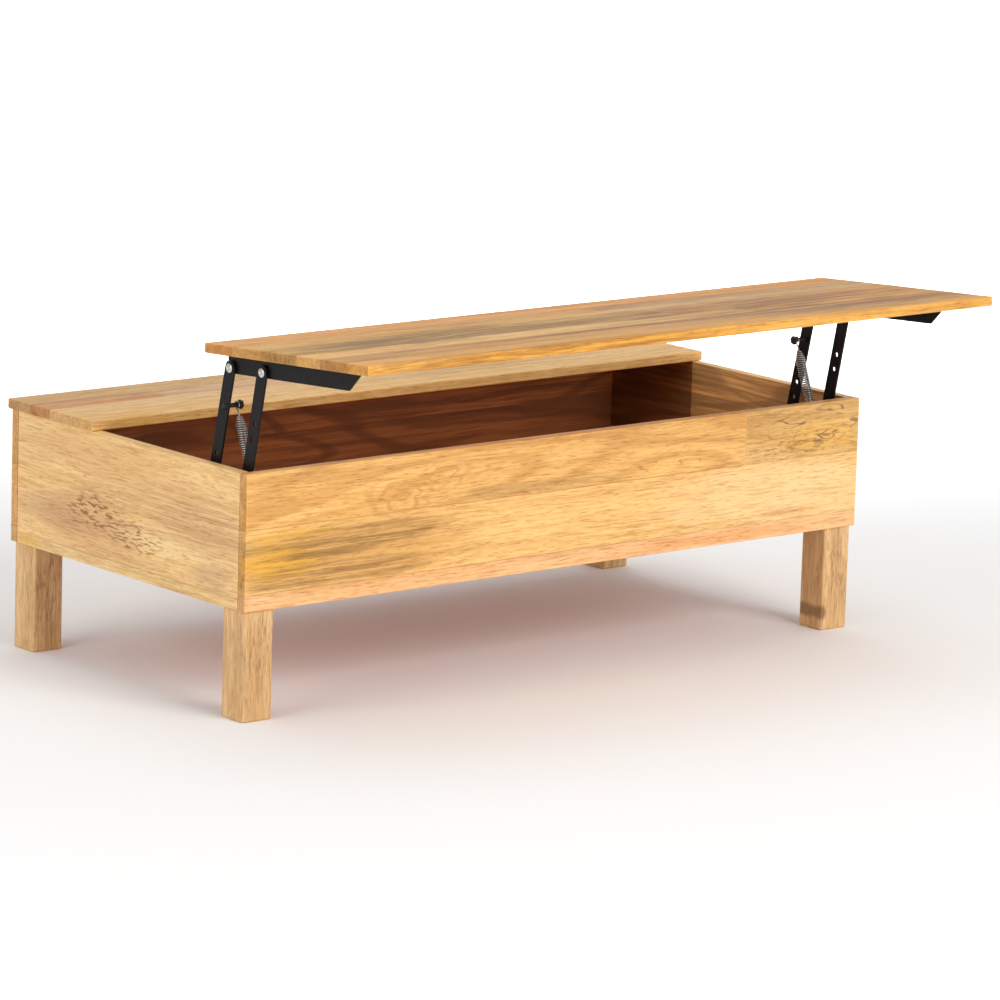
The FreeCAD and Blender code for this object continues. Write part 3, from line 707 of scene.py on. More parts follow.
# --- drawing geometry nodes ---
class ShapeSheet(Sheet):
    """A Geometry Nodes tree under construction."""

    def __init__(self, name: str) -> None:
        """Starts an empty tree.

        Args:
            name: the tree's name.
        """
        self.tree = bpy.data.node_groups.new(name, "GeometryNodeTree")
        self.tree.is_modifier = True
        self.tree.interface.new_socket("Geometry", in_out="INPUT", socket_type="NodeSocketGeometry")
        self.tree.interface.new_socket("Geometry", in_out="OUTPUT", socket_type="NodeSocketGeometry")
        self.given = self.tree.nodes.new("NodeGroupInput")
        self.result = self.tree.nodes.new("NodeGroupOutput")

    def size(self, name: str, kind: str = "NodeSocketFloat") -> Socket:
        """Adds a named input and returns it."""
        self.tree.interface.new_socket(name, in_out="INPUT", socket_type=kind)
        return self.given.outputs[name]

    def add(self, kind: str, settings: "dict | None" = None, **sockets: object) -> bpy.types.Node:
        """Adds one node.

        Args:
            kind: the node's type.
            settings: its own options.
            sockets: a value or a socket for each input, by its name with _ for a space.

        Returns:
            The node.
        """
        node = self.tree.nodes.new(kind)
        for name, value in (settings or {}).items():
            setattr(node, name, value)
        for name, value in sockets.items():
            self.feed(node.inputs[name.replace("_", " ")], value)
        return node

    def sizes(self, *names: str) -> "list[Socket]":
        """Adds several named inputs and returns them."""
        return [self.size(name) for name in names]

    def raised(self, shape: Socket, rise: "Socket | float") -> Socket:
        """Moves a shape up by that much and returns it."""
        offset = self.add("ShaderNodeCombineXYZ", Z=rise)
        return self.add("GeometryNodeTransform", Geometry=shape, Translation=offset.outputs[0]).outputs[0]

    def swept(self, line: Socket, sides: "Socket | int", radius: Socket) -> Socket:
        """Sweeps an even section along a line and returns the closed shape."""
        section = self.add("GeometryNodeCurvePrimitiveCircle", {"mode": "RADIUS"}, Resolution=sides,
                           Radius=radius)
        shape = self.add("GeometryNodeCurveToMesh", Curve=line, Profile_Curve=section.outputs[0],
                         Fill_Caps=True)
        return shape.outputs[0]

    def joined(self, *shapes: Socket) -> Socket:
        """Puts several shapes together and returns them as one."""
        node = self.add("GeometryNodeJoinGeometry")
        for shape in reversed(shapes):
            self.tree.links.new(shape, node.inputs[0])
        return node.outputs[0]

    def close(self, shape: Socket) -> None:
        """Ends the tree with real shapes that carry the finish.

        Args:
            shape: what the tree makes.
        """
        finish = self.size("Finish", "NodeSocketMaterial")
        real = self.add("GeometryNodeRealizeInstances", Geometry=shape)
        dressed = self.add("GeometryNodeSetMaterial", Geometry=real.outputs[0], Material=finish)
        self.tree.links.new(dressed.outputs[0], self.result.inputs[0])

    def make(self, name: str, start: bpy.types.Mesh, values: dict[str, object]) -> bpy.types.Object:
        """Runs the tree on a mesh and keeps the result as a plain mesh.

        Args:
            name: the finished piece's name.
            start: the points or lines that the tree works on.
            values: what each named input is set to.

        Returns:
            The finished piece, at the origin.
        """
        seed_piece = bpy.data.objects.new(name + "_start", start)
        bpy.context.scene.collection.objects.link(seed_piece)
        modifier = seed_piece.modifiers.new("Shape", "NODES")
        modifier.node_group = self.tree
        for item in self.tree.interface.items_tree:
            if item.item_type == "SOCKET" and item.in_out == "INPUT" and item.name in values:
                modifier[item.identifier] = values[item.name]
        depsgraph = bpy.context.evaluated_depsgraph_get()
        mesh = bpy.data.meshes.new_from_object(seed_piece.evaluated_get(depsgraph))
        mesh.name = name
        seed_piece.modifiers.clear()
        bpy.data.objects.remove(seed_piece)
        piece = bpy.data.objects.new(name, mesh)
        bpy.context.scene.collection.objects.link(piece)
        return piece


def own_sizes(part: object) -> "dict[str, float]":
    """Gives a part's own sizes by the names of its tree's inputs."""
    return {name.replace("_", " ").capitalize(): value for name, value in vars(part).items()}


def marked_points(name: str, places: "list[tuple[Vector, Vector]]") -> bpy.types.Mesh:
    """Makes loose points that each carry a direction.

    Args:
        name: the mesh's name.
        places: each point and the direction its fastening faces.

    Returns:
        The points as a mesh.
    """
    mesh = bpy.data.meshes.new(name)
    mesh.from_pydata([tuple(point) for point, _ in places], [], [])
    facing = mesh.attributes.new("facing", "FLOAT_VECTOR", "POINT")
    facing.data.foreach_set("vector", [value for _, direction in places for value in direction])
    return mesh


def line_mesh(name: str, runs: "list[list[Vector]]") -> bpy.types.Mesh:
    """Makes a mesh of bent lines.

    Args:
        name: the mesh's name.
        runs: the points of each line in order.

    Returns:
        The lines as edges.
    """
    points: list[tuple] = []
    edges: list[tuple[int, int]] = []
    for run in runs:
        first = len(points)
        points += [tuple(point) for point in run]
        edges += [(first + k, first + k + 1) for k in range(len(run) - 1)]
    mesh = bpy.data.meshes.new(name)
    mesh.from_pydata(points, edges, [])
    return mesh


def separate_shapes(node: str) -> "list[np.ndarray]":
    """Finds the separate solids in one node of the frame.

    Args:
        node: the node's name.

    Returns:
        The corner points of each solid, in metres.
    """
    mesh = frame["nodes"][node].data
    points = np.array([vertex.co for vertex in mesh.vertices], float)
    _, same = np.unique(np.round(points, 6), axis=0, return_inverse=True)
    same = same.reshape(-1)
    group = np.arange(same.max() + 1)

    def root(index: int) -> int:
        """Follows a point to the one that stands for its solid and returns that."""
        while group[index] != index:
            group[index] = group[group[index]]
            index = group[index]
        return index

    for edge in mesh.edges:
        first, second = root(same[edge.vertices[0]]), root(same[edge.vertices[1]])
        group[max(first, second)] = min(first, second)
    owners = np.array([root(index) for index in same])
    return [points[owners == owner] for owner in sorted(set(owners.tolist()))]


def head_centre(points: np.ndarray, facing: Vector) -> Vector:
    """Finds the middle of a fastening's head.

    Args:
        points: the solid's corner points.
        facing: the direction its head faces.

    Returns:
        The middle of the head's furthest points.
    """
    reach = points @ np.array(facing)
    rim = points[reach > reach.max() - 0.05 * MM]
    return Vector(((rim.min(0) + rim.max(0)) / 2).tolist())


def dress(nodes: "list[str]", finish: bpy.types.Material) -> None:
    """Gives carried-over pieces their finish.

    Args:
        nodes: the pieces' names in the frame.
        finish: the material.
    """
    for name in nodes:
        slots = frame["nodes"][name].data.materials
        slots.clear()
        slots.append(finish)
        LOG.info("dressed %s in %s", name, finish.name)


# --- colours ---
HONEY = linear(236, 186, 112)
APRICOT = linear(240, 194, 124)
PALE_GOLD = linear(247, 208, 149)
PEACH = linear(244, 192, 136)
SAND = linear(235, 196, 136)
CREAM = linear(236, 198, 140)
OLIVE = linear(186, 150, 94)
WHEAT = linear(226, 178, 118)
FLECK_BROWN = linear(132, 88, 52)
TAN = linear(208, 168, 112)
ORANGE_BROWN = linear(206, 150, 96)
BLACK_LINE = linear(96, 70, 46)
UMBER = linear(134, 98, 62)
YELLOW = linear(226, 170, 70)
RUST = linear(190, 122, 66)
LEG_TAN = linear(222, 184, 134)
LEG_BROWN = linear(190, 148, 98)
# inside faces and inner pieces: a darker stain plus painted shade of the box's inside
STAIN_AND_INSIDE_SHADE = linear(206, 132, 78)
# lighter copy of the inside colour for the right end's inner face: painted light falling into the box
PAINTED_LIT_STAIN = linear(240, 180, 112)


def joint(name: str) -> "dict[str, object]":
    """Finds a joint of the frame by its name and returns it."""
    return next(joint for joint in frame["joints"] if joint["name"] == name)


def both(stem: str) -> "list[str]":
    """Names the left and right pieces of one kind and returns the two names."""
    return [f"{stem}_{hand.word}" for hand in Hand]


def corners(stem: str) -> "list[str]":
    """Names the four corner pieces of one kind and returns their names."""
    return [f"{stem}_{row}_{hand.word}" for row in ("front", "back") for hand in Hand]


# --- the wood ---
@dataclass
class StorageBox:
    """The open box: four outer panels, each glued up from planks, and what is inside it."""

    lower_joint: float = 0.023
    upper_joint: float = 0.110
    end_joint: float = 0.016
    spalted_from: float = 0.330

    def front(self) -> WoodFinish:
        """Describes the front panel's three planks and returns its finish."""
        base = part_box("front_panel")[0].z
        low, high = base + self.lower_joint, base + self.upper_joint

        def spot(x: float, up: float) -> Span:
            """Gives a place on the panel, by its height over the lower edge."""
            return (x, base + up)

        return WoodFinish(
            name="front panel mango",
            grain=Axis.X,
            across=Axis.Z,
            staves=(
                Stave(HONEY, figure=0.55),
                Stave(APRICOT, across=(low, high), figure=0.10),
                Stave(PEACH, across=(START, low), figure=0.10),
                Stave(linear(222, 180, 112), along=(self.spalted_from, END), across=(high, END),
                      figure=0.4),
            ),
            patches=(
                Patch(Mark.TINT, spot(0.40, 0.065), (0.26, 0.060), PALE_GOLD, 0.8),
                Patch(Mark.TINT, spot(-0.36, 0.066), (0.24, 0.060), linear(216, 162, 88), 0.75),
                Patch(Mark.TINT, spot(-0.490, 0.062), (0.085, 0.036), linear(230, 170, 48), 0.75),
                Patch(Mark.STREAKS, spot(-0.470, 0.098), (0.09, 0.010), linear(232, 176, 60), 0.8),
                Patch(Mark.STREAKS, spot(-0.38, 0.080), (0.23, 0.030), linear(138, 104, 58), 0.75),
                Patch(Mark.STREAKS, spot(-0.40, 0.040), (0.22, 0.020), linear(146, 108, 62), 0.75),
                Patch(Mark.RINGS, spot(-0.285, 0.128), (0.085, 0.044), linear(204, 146, 78), 0.6),
                Patch(Mark.RINGS, spot(-0.215, 0.150), (0.060, 0.030), linear(206, 150, 84), 0.5),
                Patch(Mark.STREAKS, spot(-0.05, 0.120), (0.20, 0.014), OLIVE, 0.6),
                Patch(Mark.TINT, spot(0.47, 0.135), (0.10, 0.030), YELLOW, 0.45),
                Patch(Mark.INK_LINES, spot(0.46, 0.158), (0.15, 0.036), BLACK_LINE, 0.75),
                Patch(Mark.FLECKS, spot(0.44, 0.130), (0.13, 0.030), UMBER, 0.6),
                Patch(Mark.INK_LINES, spot(0.17, 0.128), (0.12, 0.020), UMBER, 0.35),
                Patch(Mark.STREAKS, spot(0.42, 0.036), (0.07, 0.009), RUST, 0.7),
                Patch(Mark.TINT, spot(0.30, 0.012), (0.20, 0.012), linear(230, 160, 100), 0.6),
            ),
            back_face=(Axis.Y, 1, STAIN_AND_INSIDE_SHADE),
            piece="front_panel",
        )

    def back(self) -> WoodFinish:
        """Describes the back panel, dark inside with stain and painted shade, and returns its finish."""
        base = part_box("back_panel")[0].z
        return WoodFinish(
            name="back panel mango",
            grain=Axis.X,
            across=Axis.Z,
            staves=(
                Stave(HONEY, figure=0.25),
                Stave(APRICOT, across=(base + self.lower_joint, base + self.upper_joint), figure=0.2),
                Stave(SAND, across=(START, base + self.lower_joint)),
            ),
            patches=(
                Patch(Mark.STREAKS, (0.25, base + 0.07), (0.30, 0.030), OLIVE, 0.6),
                Patch(Mark.INK_LINES, (-0.30, base + 0.14), (0.16, 0.035), UMBER, 0.5),
            ),
            back_face=(Axis.Y, -1, STAIN_AND_INSIDE_SHADE),
            piece="back_panel",
            seed=11.0,
        )

    def end(self, hand: Hand) -> WoodFinish:
        """Describes one end panel.

        Args:
            hand: which end.

        Returns:
            Its finish.
        """
        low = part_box(f"{hand.word}_end_panel")[0]
        front, base = low.y, low.z

        def spot(back: float, up: float) -> Span:
            """Gives a place on the panel, from its front edge and its lower edge."""
            return (front + back, base + up)

        if hand is Hand.RIGHT:
            marks = (
                Patch(Mark.TINT, spot(0.12, 0.130), (0.20, 0.034), WHEAT, 0.7),
                Patch(Mark.TINT, spot(0.36, 0.050), (0.16, 0.026), CREAM, 0.8),
                Patch(Mark.STREAKS, spot(0.20, 0.075), (0.18, 0.018), linear(158, 118, 76), 0.7),
                Patch(Mark.INK_LINES, spot(0.42, 0.140), (0.09, 0.026), UMBER, 0.5),
                Patch(Mark.RINGS, spot(0.30, 0.110), (0.07, 0.030), linear(196, 142, 86), 0.5),
            )
        else:
            marks = (
                Patch(Mark.TINT, spot(0.30, 0.155), (0.24, 0.028), WHEAT, 0.7),
                Patch(Mark.TINT, spot(0.18, 0.060), (0.15, 0.020), CREAM, 0.8),
                Patch(Mark.TINT, spot(0.42, 0.060), (0.10, 0.030), linear(204, 164, 122), 0.7),
                Patch(Mark.TINT, spot(0.06, 0.040), (0.06, 0.030), linear(204, 166, 126), 0.55),
                Patch(Mark.TINT, spot(0.33, 0.060), (0.14, 0.060), linear(204, 152, 104), 0.55),
                Patch(Mark.TINT, spot(0.14, 0.058), (0.15, 0.016), linear(246, 212, 150), 0.8),
                Patch(Mark.STREAKS, spot(0.10, 0.100), (0.16, 0.050), linear(196, 146, 108), 0.6),
                Patch(Mark.FLECKS, spot(0.315, 0.075), (0.085, 0.036), FLECK_BROWN, 0.85),
                Patch(Mark.FLECKS, spot(0.235, 0.055), (0.090, 0.026), FLECK_BROWN, 0.8),
                Patch(Mark.TINT, spot(0.49, 0.008), (0.05, 0.012), linear(232, 184, 92), 0.7),
            )
        return WoodFinish(
            name=f"{hand.word} end panel mango",
            grain=Axis.Y,
            across=Axis.Z,
            staves=(
                Stave(SAND, figure=0.10),
                Stave(linear(232, 198, 140), across=(START, base + self.end_joint), figure=0.1),
            ),
            patches=marks,
            # the rear top's painted shadow on the inside starts at its front edge
            shadow_past=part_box("rear_top")[0].y,
            piece=f"{hand.word}_end_panel",
            # the right end's inner face gets the lighter copy: painted light
            back_face=(Axis.X, -hand.value, PAINTED_LIT_STAIN if hand is Hand.RIGHT else STAIN_AND_INSIDE_SHADE),
            seed=23.0 + hand.value,
        )

    def inner(self, name: str, grain: Axis, across: Axis, seed: float) -> WoodFinish:
        """Describes the wood inside the box: a darker stain with painted shade.

        Args:
            name: the finish's name.
            grain: the direction of its grain.
            across: the direction across the grain.
            seed: what sets its pattern apart.

        Returns:
            The finish.
        """
        return WoodFinish(name, grain, across, (Stave(STAIN_AND_INSIDE_SHADE, figure=0.4),), seed=seed)

    def build(self) -> None:
        """Dresses every wooden piece of the box."""
        dress(["front_panel"], self.front().material())
        dress(["back_panel"], self.back().material())
        for hand in Hand:
            dress([f"{hand.word}_end_panel"], self.end(hand).material())
        # the pieces inside the box: stain plus painted shade
        lengthwise = self.inner("inside wood lengthwise", Axis.X, Axis.Y, 31.0).material()
        dress(["floor_panel", "floor_cleat_front", "floor_cleat_back"], lengthwise)
        dress(both("floor_cleat"), self.inner("inside wood crosswise", Axis.Y, Axis.X, 37.0).material())
        dress(corners("corner_block"), self.inner("corner block wood", Axis.Z, Axis.X, 41.0).material())
        dowel = WoodFinish("dowel birch", Axis.Y, Axis.X, (Stave(CREAM),), seed=43.0).material()
        dress(["panel_dowels", "rear_top_dowels"], dowel)


@dataclass
class Legs:
    """The four square legs, with upright grain and a knot."""

    knot_height: float = 0.026
    first_seed: float = 51.0
    seed_step: float = 5.0

    def finish(self, name: str, seed: float) -> WoodFinish:
        """Describes one leg.

        Args:
            name: the leg's name in the frame.
            seed: what sets its pattern apart.

        Returns:
            Its finish.
        """
        low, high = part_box(name)
        middle = (low + high) / 2
        patches = [
            Patch(Mark.STREAKS, (middle.z, middle.x), (0.09, 0.03), LEG_BROWN, 0.75),
            Patch(Mark.FLECKS, (middle.z + 0.02, middle.x), (0.07, 0.03), UMBER, 0.45),
        ]
        if name == "leg_front_right":
            patches.append(Patch(Mark.TINT, (self.knot_height, low.x), (0.012, 0.010), UMBER, 0.8))
        return WoodFinish(name=name + " mango", grain=Axis.Z, across=Axis.X,
                          staves=(Stave(LEG_TAN, figure=0.35),), patches=tuple(patches), seed=seed)

    def build(self) -> None:
        """Dresses the four legs, each with its own pattern."""
        for index, name in enumerate(corners("leg")):
            dress([name], self.finish(name, self.first_seed + self.seed_step * index).material())


@dataclass
class RearTop:
    """The fixed top board at the back, glued up from strips."""

    def build(self) -> None:
        """Dresses the board."""
        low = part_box("rear_top")[0]
        front = low.y
        finish = WoodFinish(
            name="rear top mango",
            grain=Axis.X,
            across=Axis.Y,
            staves=(
                Stave(linear(238, 196, 128), figure=0.25),
                Stave(SAND, across=(front + 0.045, front + 0.100), figure=0.2),
                Stave(linear(218, 178, 134), across=(front + 0.100, front + 0.145), figure=0.2),
                Stave(TAN, across=(front + 0.145, END), figure=0.2),
                Stave(ORANGE_BROWN, along=(START, low.x + 0.20), across=(front + 0.100, front + 0.145)),
            ),
            patches=(
                Patch(Mark.STREAKS, (-0.40, front + 0.140), (0.22, 0.012), UMBER, 0.7),
                Patch(Mark.STREAKS, (-0.30, front + 0.115), (0.20, 0.008), UMBER, 0.55),
                Patch(Mark.STREAKS, (0.15, front + 0.060), (0.30, 0.020), OLIVE, 0.6),
                Patch(Mark.TINT, (-0.47, front + 0.005), (0.06, 0.030), YELLOW, 0.4),
            ),
            piece="rear_top",
            seed=71.0,
        )
        dress(["rear_top"], finish.material())


@dataclass
class LiftTop:
    """The top board that lifts, glued up from strips of mixed colour."""

    tilt: float = RAISED_TILT

    def build(self) -> None:
        """Dresses the board, whose grain follows its tilt."""
        finish = WoodFinish(
            name="lift top mango",
            grain=Axis.X,
            across=Axis.Y,
            staves=(
                Stave(linear(226, 163, 86), figure=0.35),
                Stave(linear(226, 177, 97), across=(-0.110, -0.045), figure=0.4),
                Stave(linear(207, 161, 86), across=(-0.185, -0.110), figure=0.45),
                Stave(linear(236, 188, 112), across=(-0.235, -0.185), figure=0.3),
                Stave(linear(205, 153, 86), across=(-0.290, -0.235), figure=0.45),
                Stave(linear(224, 169, 83), across=(START, -0.290), figure=0.3),
                Stave(linear(222, 169, 97), along=(0.20, END), across=(-0.235, -0.185), figure=0.5),
                Stave(TAN, along=(0.05, END), across=(-0.110, -0.045), figure=0.25),
                Stave(linear(213, 159, 90), along=(0.10, END), across=(-0.185, -0.110), figure=0.5),
            ),
            patches=(
                Patch(Mark.STREAKS, (-0.30, -0.15), (0.34, 0.07), linear(116, 84, 46), 0.85),
                Patch(Mark.STREAKS, (0.20, -0.18), (0.38, 0.08), linear(114, 76, 42), 0.85),
                Patch(Mark.STREAKS, (-0.10, -0.205), (0.30, 0.012), CREAM, 0.8),
                Patch(Mark.STREAKS, (-0.15, -0.250), (0.42, 0.010), linear(104, 72, 40), 0.85),
                Patch(Mark.STREAKS, (0.30, -0.262), (0.30, 0.012), linear(108, 74, 44), 0.85),
                Patch(Mark.TINT, (-0.20, -0.340), (0.36, 0.028), linear(232, 166, 62), 0.75),
                Patch(Mark.STREAKS, (-0.25, -0.335), (0.34, 0.024), linear(150, 96, 36), 0.7),
                Patch(Mark.STREAKS, (0.38, -0.28), (0.24, 0.05), linear(118, 80, 48), 0.8),
                Patch(Mark.STREAKS, (0.05, -0.06), (0.55, 0.030), linear(160, 104, 62), 0.6),
            ),
            lie=Lie(tuple(joint("lift_top_hinge")["pos_m"]), math.radians(self.tilt)),
            piece="lift_top",
            seed=83.0,
        )
        dress(["lift_top"], finish.material())


# --- the steel ---
BLACK_COAT = MetalFinish("black powder coat", (0.006, 0.005, 0.005), (0.020, 0.018, 0.017), 0.0, 0.38,
                         texture=1500.0, relief=0.00005, wear=0.35, shine=0.16)
BLACK_SCREW = MetalFinish("black oxide screw", (0.02, 0.02, 0.02), (0.10, 0.10, 0.10), 0.6, 0.38)
ZINC = MetalFinish("zinc plating", (0.62, 0.63, 0.64), (0.42, 0.42, 0.41), 1.0, 0.34)
RIVET_STEEL = MetalFinish("bright rivet steel", (0.62, 0.62, 0.61), (0.40, 0.39, 0.38), 1.0, 0.34)
SPRING_STEEL = MetalFinish("oiled spring steel", (0.42, 0.41, 0.39), (0.16, 0.15, 0.13), 1.0, 0.30)


@dataclass
class CrossScrews:
    """Countersunk screws with a cross recess, set where the frame's screws are."""

    head_radius: float = 3.8 * MM
    shank_radius: float = 1.9 * MM
    recess_width: float = 0.9 * MM
    recess_reach: float = 4.4 * MM
    recess_depth: float = 1.5 * MM

    def sheet(self) -> ShapeSheet:
        """Draws the tree of one screw on every point and returns it."""
        sheet = ShapeSheet("Countersunk screws")
        head, shank, length, width, reach, depth = sheet.sizes(
            "Head radius", "Shank radius", "Length", "Recess width", "Recess reach", "Recess depth")
        taper = sheet.minus(head, shank)
        cone = sheet.add("GeometryNodeMeshCone", Vertices=HEAD_SIDES, Radius_Top=head, Radius_Bottom=shank,
                         Depth=taper)
        sunk = sheet.raised(cone.outputs[0], sheet.times(taper, -1.0))
        cuts = []
        for x, y in ((width, reach), (reach, width)):
            sizes = sheet.add("ShaderNodeCombineXYZ", X=x, Y=y, Z=sheet.times(depth, 2.0))
            cuts.append(sheet.add("GeometryNodeMeshCube", Size=sizes.outputs[0]).outputs[0])
        carved = sheet.add("GeometryNodeMeshBoolean", {"operation": "DIFFERENCE", "solver": "EXACT"})
        sheet.feed(carved.inputs["Mesh 1"], sunk)
        for cut in cuts:
            sheet.tree.links.new(cut, carved.inputs["Mesh 2"])
        body = sheet.minus(length, taper)
        rod = sheet.add("GeometryNodeMeshCylinder", Vertices=20, Radius=shank, Depth=body)
        low = sheet.raised(rod.outputs[0], sheet.minus(sheet.times(body, -0.5), taper))
        sheet.close(on_points(sheet, sheet.joined(carved.outputs[0], low)))
        return sheet

    def build(self, sheet: ShapeSheet, name: str, nodes: "dict[str, Vector]", body: str, length: float,
              finish: bpy.types.Material, slot: str) -> None:
        """Sets screws in place of the frame's plain ones.

        Args:
            sheet: the tree of the screws.
            name: the finished piece's name.
            nodes: each node that they replace, with the direction that its heads face.
            body: the body that they ride on.
            length: a screw's length.
            finish: their material.
            slot: the record's material slot; not used.
        """
        places = [(head_centre(points, facing), facing)
                  for node, facing in nodes.items() for points in separate_shapes(node)]
        values = own_sizes(self) | {"Length": length, "Finish": finish}
        piece = sheet.make(name, marked_points(name + "_points", places), values)
        settle(piece, body, list(nodes))


@dataclass
class DomedRivets:
    """Rivets with a low domed head and a small dimple in its middle."""

    head_height: float = 2.8 * MM
    dimple_radius: float = 2.2 * MM
    dimple_depth: float = 1.3 * MM

    def sheet(self) -> ShapeSheet:
        """Draws the tree of one rivet end on every point and returns it."""
        sheet = ShapeSheet("Domed rivets")
        head, rise, shank, length, dent, dent_depth = sheet.sizes(
            "Head radius", "Head height", "Shank radius", "Shank length", "Dimple radius", "Dimple depth")
        rim = sheet.times(rise, 0.4)
        disc = sheet.add("GeometryNodeMeshCylinder", {"fill_type": "TRIANGLE_FAN"}, Vertices=HEAD_SIDES,
                         Fill_Segments=12, Radius=head, Depth=rim)
        spot = sheet.add("ShaderNodeSeparateXYZ", Vector=sheet.add("GeometryNodeInputPosition").outputs[0])
        x, y = spot.outputs[0], spot.outputs[1]
        out = sheet.length(x, y)
        share = sheet.calc("DIVIDE", out, head)
        crown = sheet.times(sheet.minus(rise, rim),
                           sheet.minus(1.0, sheet.calc("POWER", share, 2.2)))
        inward = sheet.calc("MAXIMUM", sheet.minus(1.0, sheet.calc("DIVIDE", out, dent)), 0.0)
        lift = sheet.minus(crown, sheet.times(dent_depth, sheet.calc("SQRT", inward)))
        top = sheet.calc("GREATER_THAN", spot.outputs[2], 0.0)
        offset = sheet.add("ShaderNodeCombineXYZ", Z=sheet.times(lift, top))
        domed = sheet.add("GeometryNodeSetPosition", Geometry=disc.outputs[0], Offset=offset.outputs[0])
        seated = sheet.raised(domed.outputs[0], sheet.minus(sheet.times(rim, 0.5), rise))
        smooth = sheet.add("GeometryNodeSetShadeSmooth", Geometry=seated, Shade_Smooth=True)
        rod = sheet.add("GeometryNodeMeshCylinder", Vertices=24, Radius=shank, Depth=length)
        low = sheet.raised(rod.outputs[0], sheet.minus(sheet.times(length, -0.5), rise))
        sheet.close(on_points(sheet, sheet.joined(smooth.outputs[0], low)))
        return sheet

    def build(self, sheet: ShapeSheet, name: str, stem: str, body: str, head_radius: float,
              shank_radius: float, two_heads: bool, finish: bpy.types.Material) -> None:
        """Sets rivets in place of the frame's plain ones.

        Args:
            sheet: the tree of the rivets.
            name: the finished piece's name.
            stem: what the replaced nodes' names start with.
            body: the body that they ride on.
            head_radius: the head's radius.
            shank_radius: the shank's radius.
            two_heads: whether the outer end has a head as well.
            finish: their material.
        """
        places, spans = [], []
        for hand in Hand:
            inward = Vector((-hand.value, 0.0, 0.0))
            for points in separate_shapes(f"{stem}_{hand.word}"):
                low, high = points.min(0), points.max(0)
                middle = (low + high) / 2
                spans.append(high[0] - low[0])
                inner_x = high[0] if hand is Hand.LEFT else low[0]
                outer_x = low[0] if hand is Hand.LEFT else high[0]
                places.append((Vector((inner_x, middle[1], middle[2])), inward))
                if two_heads:
                    places.append((Vector((outer_x, middle[1], middle[2])), -inward))
        share = 0.5 if two_heads else 1.0
        length = min(spans) * share - self.head_height
        values = own_sizes(self) | {"Head radius": head_radius, "Shank radius": shank_radius,
                                    "Shank length": length, "Finish": finish}
        piece = sheet.make(name, marked_points(name + "_points", places), values)
        settle(piece, body, both(stem))


def on_points(sheet: ShapeSheet, shape: Socket) -> Socket:
    """Sets one copy of a shape on every given point, facing the way the point says.

    Args:
        sheet: the tree under construction.
        shape: the shape, which faces up.

    Returns:
        The copies.
    """
    facing = sheet.add("GeometryNodeInputNamedAttribute", {"data_type": "FLOAT_VECTOR"}, Name="facing")
    turn = sheet.add("FunctionNodeAlignRotationToVector", {"axis": "Z"}, Vector=facing.outputs[0])
    copies = sheet.add("GeometryNodeInstanceOnPoints", Points=sheet.given.outputs["Geometry"],
                       Instance=shape, Rotation=turn.outputs[0])
    return copies.outputs[0]


def settle(piece: bpy.types.Object, body: str, nodes: "list[str]") -> None:
    """Ties a finished piece to its body and the nodes it stands for.

    Args:
        piece: the finished piece.
        body: the body that it rides on.
        nodes: the nodes that it replaces.
    """
    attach(piece, body)
    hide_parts(*nodes)
    LOG.info("made %s on %s, %d faces", piece.name, body, len(piece.data.polygons))


@dataclass
class SpringPosts:
    """The threaded bolts through the rear arms that the springs hang on."""

    core_radius: float = 2.8 * MM
    crest_radius: float = 3.2 * MM
    pitch: float = 1.1 * MM
    thread_length: float = 17.0 * MM
    head_radius: float = 5.5 * MM
    head_height: float = 2.8 * MM

    def sheet(self) -> ShapeSheet:
        """Draws the tree of one bolt on every point and returns it."""
        sheet = ShapeSheet("Threaded posts")
        core, crest, pitch, threaded, length, head, rise = sheet.sizes(
            "Core radius", "Crest radius", "Pitch", "Thread length", "Length", "Head radius", "Head height")
        depth = sheet.minus(crest, core)
        run = sheet.minus(threaded, pitch)
        turns = sheet.calc("DIVIDE", run, pitch)
        spiral = sheet.add("GeometryNodeCurveSpiral", Resolution=20, Rotations=turns, Start_Radius=core,
                           End_Radius=core, Height=run)
        thread = sheet.swept(spiral.outputs[0], 4, depth)
        turned = sheet.raised(thread, sheet.minus(sheet.times(pitch, 0.5), threaded))
        rod = sheet.add("GeometryNodeMeshCylinder", Vertices=HEAD_SIDES, Radius=core, Depth=threaded)
        tip = sheet.raised(rod.outputs[0], sheet.times(threaded, -0.5))
        plain_length = sheet.minus(length, threaded)
        plain = sheet.add("GeometryNodeMeshCylinder", Vertices=HEAD_SIDES, Radius=crest, Depth=plain_length)
        shank = sheet.raised(plain.outputs[0], sheet.minus(sheet.times(plain_length, -0.5), threaded))
        cap = sheet.add("GeometryNodeMeshCone", {"fill_type": "TRIANGLE_FAN"}, Vertices=HEAD_SIDES,
                        Radius_Top=head, Radius_Bottom=sheet.times(head, 0.6), Depth=rise)
        capped = sheet.raised(cap.outputs[0], sheet.times(sheet.plus(length, rise), -1.0))
        sheet.close(on_points(sheet, sheet.joined(turned, tip, shank, capped)))
        return sheet

    def build(self, finish: bpy.types.Material) -> None:
        """Sets the bolts in place of the frame's plain ones.

        Args:
            finish: their material.
        """
        places = []
        length = 0.0
        for hand in Hand:
            low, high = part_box(f"spring_post_{hand.word}")
            middle = (low + high) / 2
            tip = high.x if hand is Hand.LEFT else low.x
            length = high.x - low.x - self.head_height
            places.append((Vector((tip, middle.y, middle.z)), Vector((-hand.value, 0.0, 0.0))))
        values = own_sizes(self) | {"Length": length, "Finish": finish}
        piece = self.sheet().make("spring_posts", marked_points("spring_post_points", places), values)
        settle(piece, "rear_arms", both("spring_post"))


